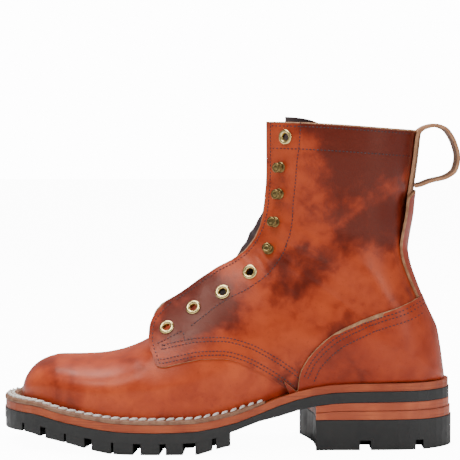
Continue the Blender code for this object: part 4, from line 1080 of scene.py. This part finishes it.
heavyThread = {"rows": (0.0030, 0.0058), "pitch": 0.0062, "slant": 0.50, "size": (0.0056, 0.0015, 0.0018)}


def weltStitches():
    # Two rows of heavy thread; each bead slants a little, like the strands of a rope
    parts = []
    slant = heavyThread["slant"]
    for inset in heavyThread["rows"]:
        x, y, length = ringLine(inset, 4000)
        number = int(length / heavyThread["pitch"])
        pick = np.linspace(30, 3960, number).astype(int)
        dx, dy = np.gradient(x)[pick], np.gradient(y)[pick]
        ways = np.stack((dx - slant * dy, dy + slant * dx, np.gradient(weltTop(x))[pick]), axis=-1)
        places = np.stack((x[pick], y[pick], weltTop(x)[pick] + 0.0004), axis=-1)
        ups = np.broadcast_to((0, 0, 1.0), places.shape)
        parts.append(beads(places, ways, ups, *heavyThread["size"], 8, 7))
    return parts


addPiece("weltStitches", weltStitches(), ["weltThread"], 60)


fineThread = {"pitch": 0.0024, "size": (0.0019, 0.0008, 0.0006)}


def row(x, z, side, lift):
    # Stitches along a line of the side view, a little out of the leather
    pitch = fineThread["pitch"]
    far = lengths(x, z)
    at = np.arange(pitch / 2, far[-1], pitch)
    x, z = np.interp(at, far, x), np.interp(at, far, z)
    places, ups = quarterForm.spot(x, z, side, lift)
    ways = np.gradient(places, axis=0)
    return beads(places, ways, ups, *fineThread["size"])


def throatLine(count=300):
    # The throat's edge in side view, from the flap's front up to the collar
    first, _ = quarterForm.locate(along(0.385), 0.465 * shaftHeight)
    t = np.linspace(first, quarterForm.last, count)
    here = quarterForm.point(t, quarterForm.throat(t, 0), 0)
    return uptoCollar((here[:, 0], here[:, 2]))


def behindThroat(distances, count=260):
    # A line at a distance in mm behind the throat's edge: shares of the edge, distances
    x, z = throatLine()
    far = lengths(x, z)
    share = far / far[-1]
    return shifted(x, z, -curve(distances, 1, share) / 1000)


facing = (
    # share of the throat's edge from its front to the collar, distance behind it in mm
    (0.0, 22.0), (0.12, 21.0), (0.3, 22.0), (0.45, 22.0), (0.55, 20.5), (0.65, 19.0), (0.8, 19.8),
    (0.9, 21.5), (1.0, 22.5),
)
frontRow = ((0.0, 2.9), (1.0, 2.9))


def uptoCollar(line):
    return kept(line, line[1] < np.interp(line[0], *sideLine(collarLine)))


def ahead(line):
    # The part of a line in front of the counter's edge
    edgeX, edgeZ = sideLine(counterLine, 300)
    return kept(line, line[1] > np.interp(line[0], edgeX, edgeZ, left=-1) + rowPlan["ahead"])


rowPlan = {
    # how far each row lies from its edge, and where rows end, as shares of the length
    "flap": 0.0028, "collar": (0.0028, 0.0180), "seam": (0.0023, 0.0048, 0.0112, 0.0137),
    "counter": (0.0030, 0.0058, 0.0105), "ahead": 0.0006, "throat": 0.003, "front": 0.001,
    "facingEnd": 0.405, "collarEnd": 0.906, "counterEnd": 0.93,
    "join": ((0.405, 0.363), (0.348, 0.322)), "tie": ((0.407, 0.360), (0.410, 0.342)),
}


def darkRows():
    # The rows of both sides: along the throat, flap, collar, seam and counter
    plan = rowPlan
    parts = []
    lift = overlay + 0.0001
    over = overlay + counterWall + 0.0003
    front, rear = uptoCollar(behindThroat(frontRow)), uptoCollar(behindThroat(facing))
    rear = kept(rear, rear[0] > along(plan["facingEnd"]))
    seams = [ahead(sideLine(seamLine[1:-1], 220, d)) for d in plan["seam"]]
    flap = sideLine(flapLine, 160, -plan["flap"])
    flap = kept(flap, (flap[1] > seams[0][1][0]) & (flap[1] < front[1][0] - plan["front"]))
    edgeX, edgeZ = throatLine()
    collar = []
    for x, z in (sideLine(collarLine, 200, -d) for d in plan["collar"]):
        inside = (x > np.interp(z, edgeZ, edgeX) + plan["throat"]) & (x < along(plan["collarEnd"]))
        collar.append(kept((x, z), inside))
    join, tie = sideLine(plan["join"], 60), sideLine(plan["tie"], 20)
    rounds = [sideLine(counterLine[1:-1], 300, -d) for d in plan["counter"]]
    rounds = [kept(line, line[0] < along(plan["counterEnd"])) for line in rounds]
    for side in (0, 1):
        parts += [row(*line, side, lift) for line in [front, rear, flap, join, tie] + collar + seams]
        parts += [row(*line, side, over) for line in rounds]
    return parts


addPiece("darkStitches", darkRows(), ["thread"], 60)
print("stitches made")

# Camera, floor and lights
photoSide, focalPixels, tilt = 460, 1942.1, 0.0568178
camera = bpy.data.cameras.new("camera")
camera.lens, camera.sensor_width = focalPixels * 36 / photoSide, 36
camera.clip_end = 20
eye = bpy.data.objects.new("camera", camera)
bpy.context.collection.objects.link(eye)
eye.location = (-0.106, -1.350, 0.225)
eye.rotation_euler = (math.pi / 2 - tilt, 0, 0)
bpy.context.scene.camera = eye


def addFloor():
    # A pale sheet under the boot, white to the camera only, so that it doesn't light the leather
    look = Look("floor", (0.9, 0.9, 0.9), 0.6)
    seen = look.out("ShaderNodeLightPath", {}, {}, "Is Camera Ray")
    look.feed("Emission Color", look.mixed(seen, (0, 0, 0), (1, 1, 1)))
    look.shader.inputs["Emission Strength"].default_value = 12.0
    mesh = bpy.data.meshes.new("floor")
    mesh.from_pydata([(-6, -6, 0), (6, -6, 0), (6, 6, 0), (-6, 6, 0)], [], [(0, 1, 2, 3)])
    mesh.materials.append(look.made)
    made = bpy.data.objects.new("floor", mesh)
    made.location = (0, 0, -0.0002)
    bpy.context.collection.objects.link(made)


def addLight(name, place, aim, size, power):
    light = bpy.data.lights.new(name, "AREA")
    light.shape, light.size, light.size_y, light.energy = "RECTANGLE", size[0], size[1], power
    made = bpy.data.objects.new(name, light)
    made.location = place
    way = np.array(aim) - np.array(place)
    flat = math.hypot(way[0], way[1])
    made.rotation_euler = (math.atan2(flat, -way[2]), 0, math.atan2(way[1], way[0]) - math.pi / 2)
    bpy.context.collection.objects.link(made)


addFloor()
for light in (
        ("key", (-0.7, -1.0, 1.7), (-0.1, 0, 0.1), (1.1, 0.6), 20),
        ("fill", (1.2, -1.1, 0.7), (-0.1, 0, 0.1), (0.5, 1.1), 8),
        ("top", (-0.2, 0.4, 1.8), (-0.1, 0, 0.1), (1.4, 0.9), 36)):
    addLight(*light)
# White behind the boot, and a weak even light on it
world = bpy.data.worlds.new("world")
world.use_nodes = True
background = world.node_tree.nodes["Background"]
rays = world.node_tree.nodes.new("ShaderNodeLightPath")
strength = world.node_tree.nodes.new("ShaderNodeMapRange")
strength.inputs[3].default_value, strength.inputs[4].default_value = 0.30, 14.0
world.node_tree.links.new(rays.outputs["Is Camera Ray"], strength.inputs[0])
world.node_tree.links.new(strength.outputs[0], background.inputs["Strength"])
background.inputs["Color"].default_value = (1, 1, 1, 1)
bpy.context.scene.world = world
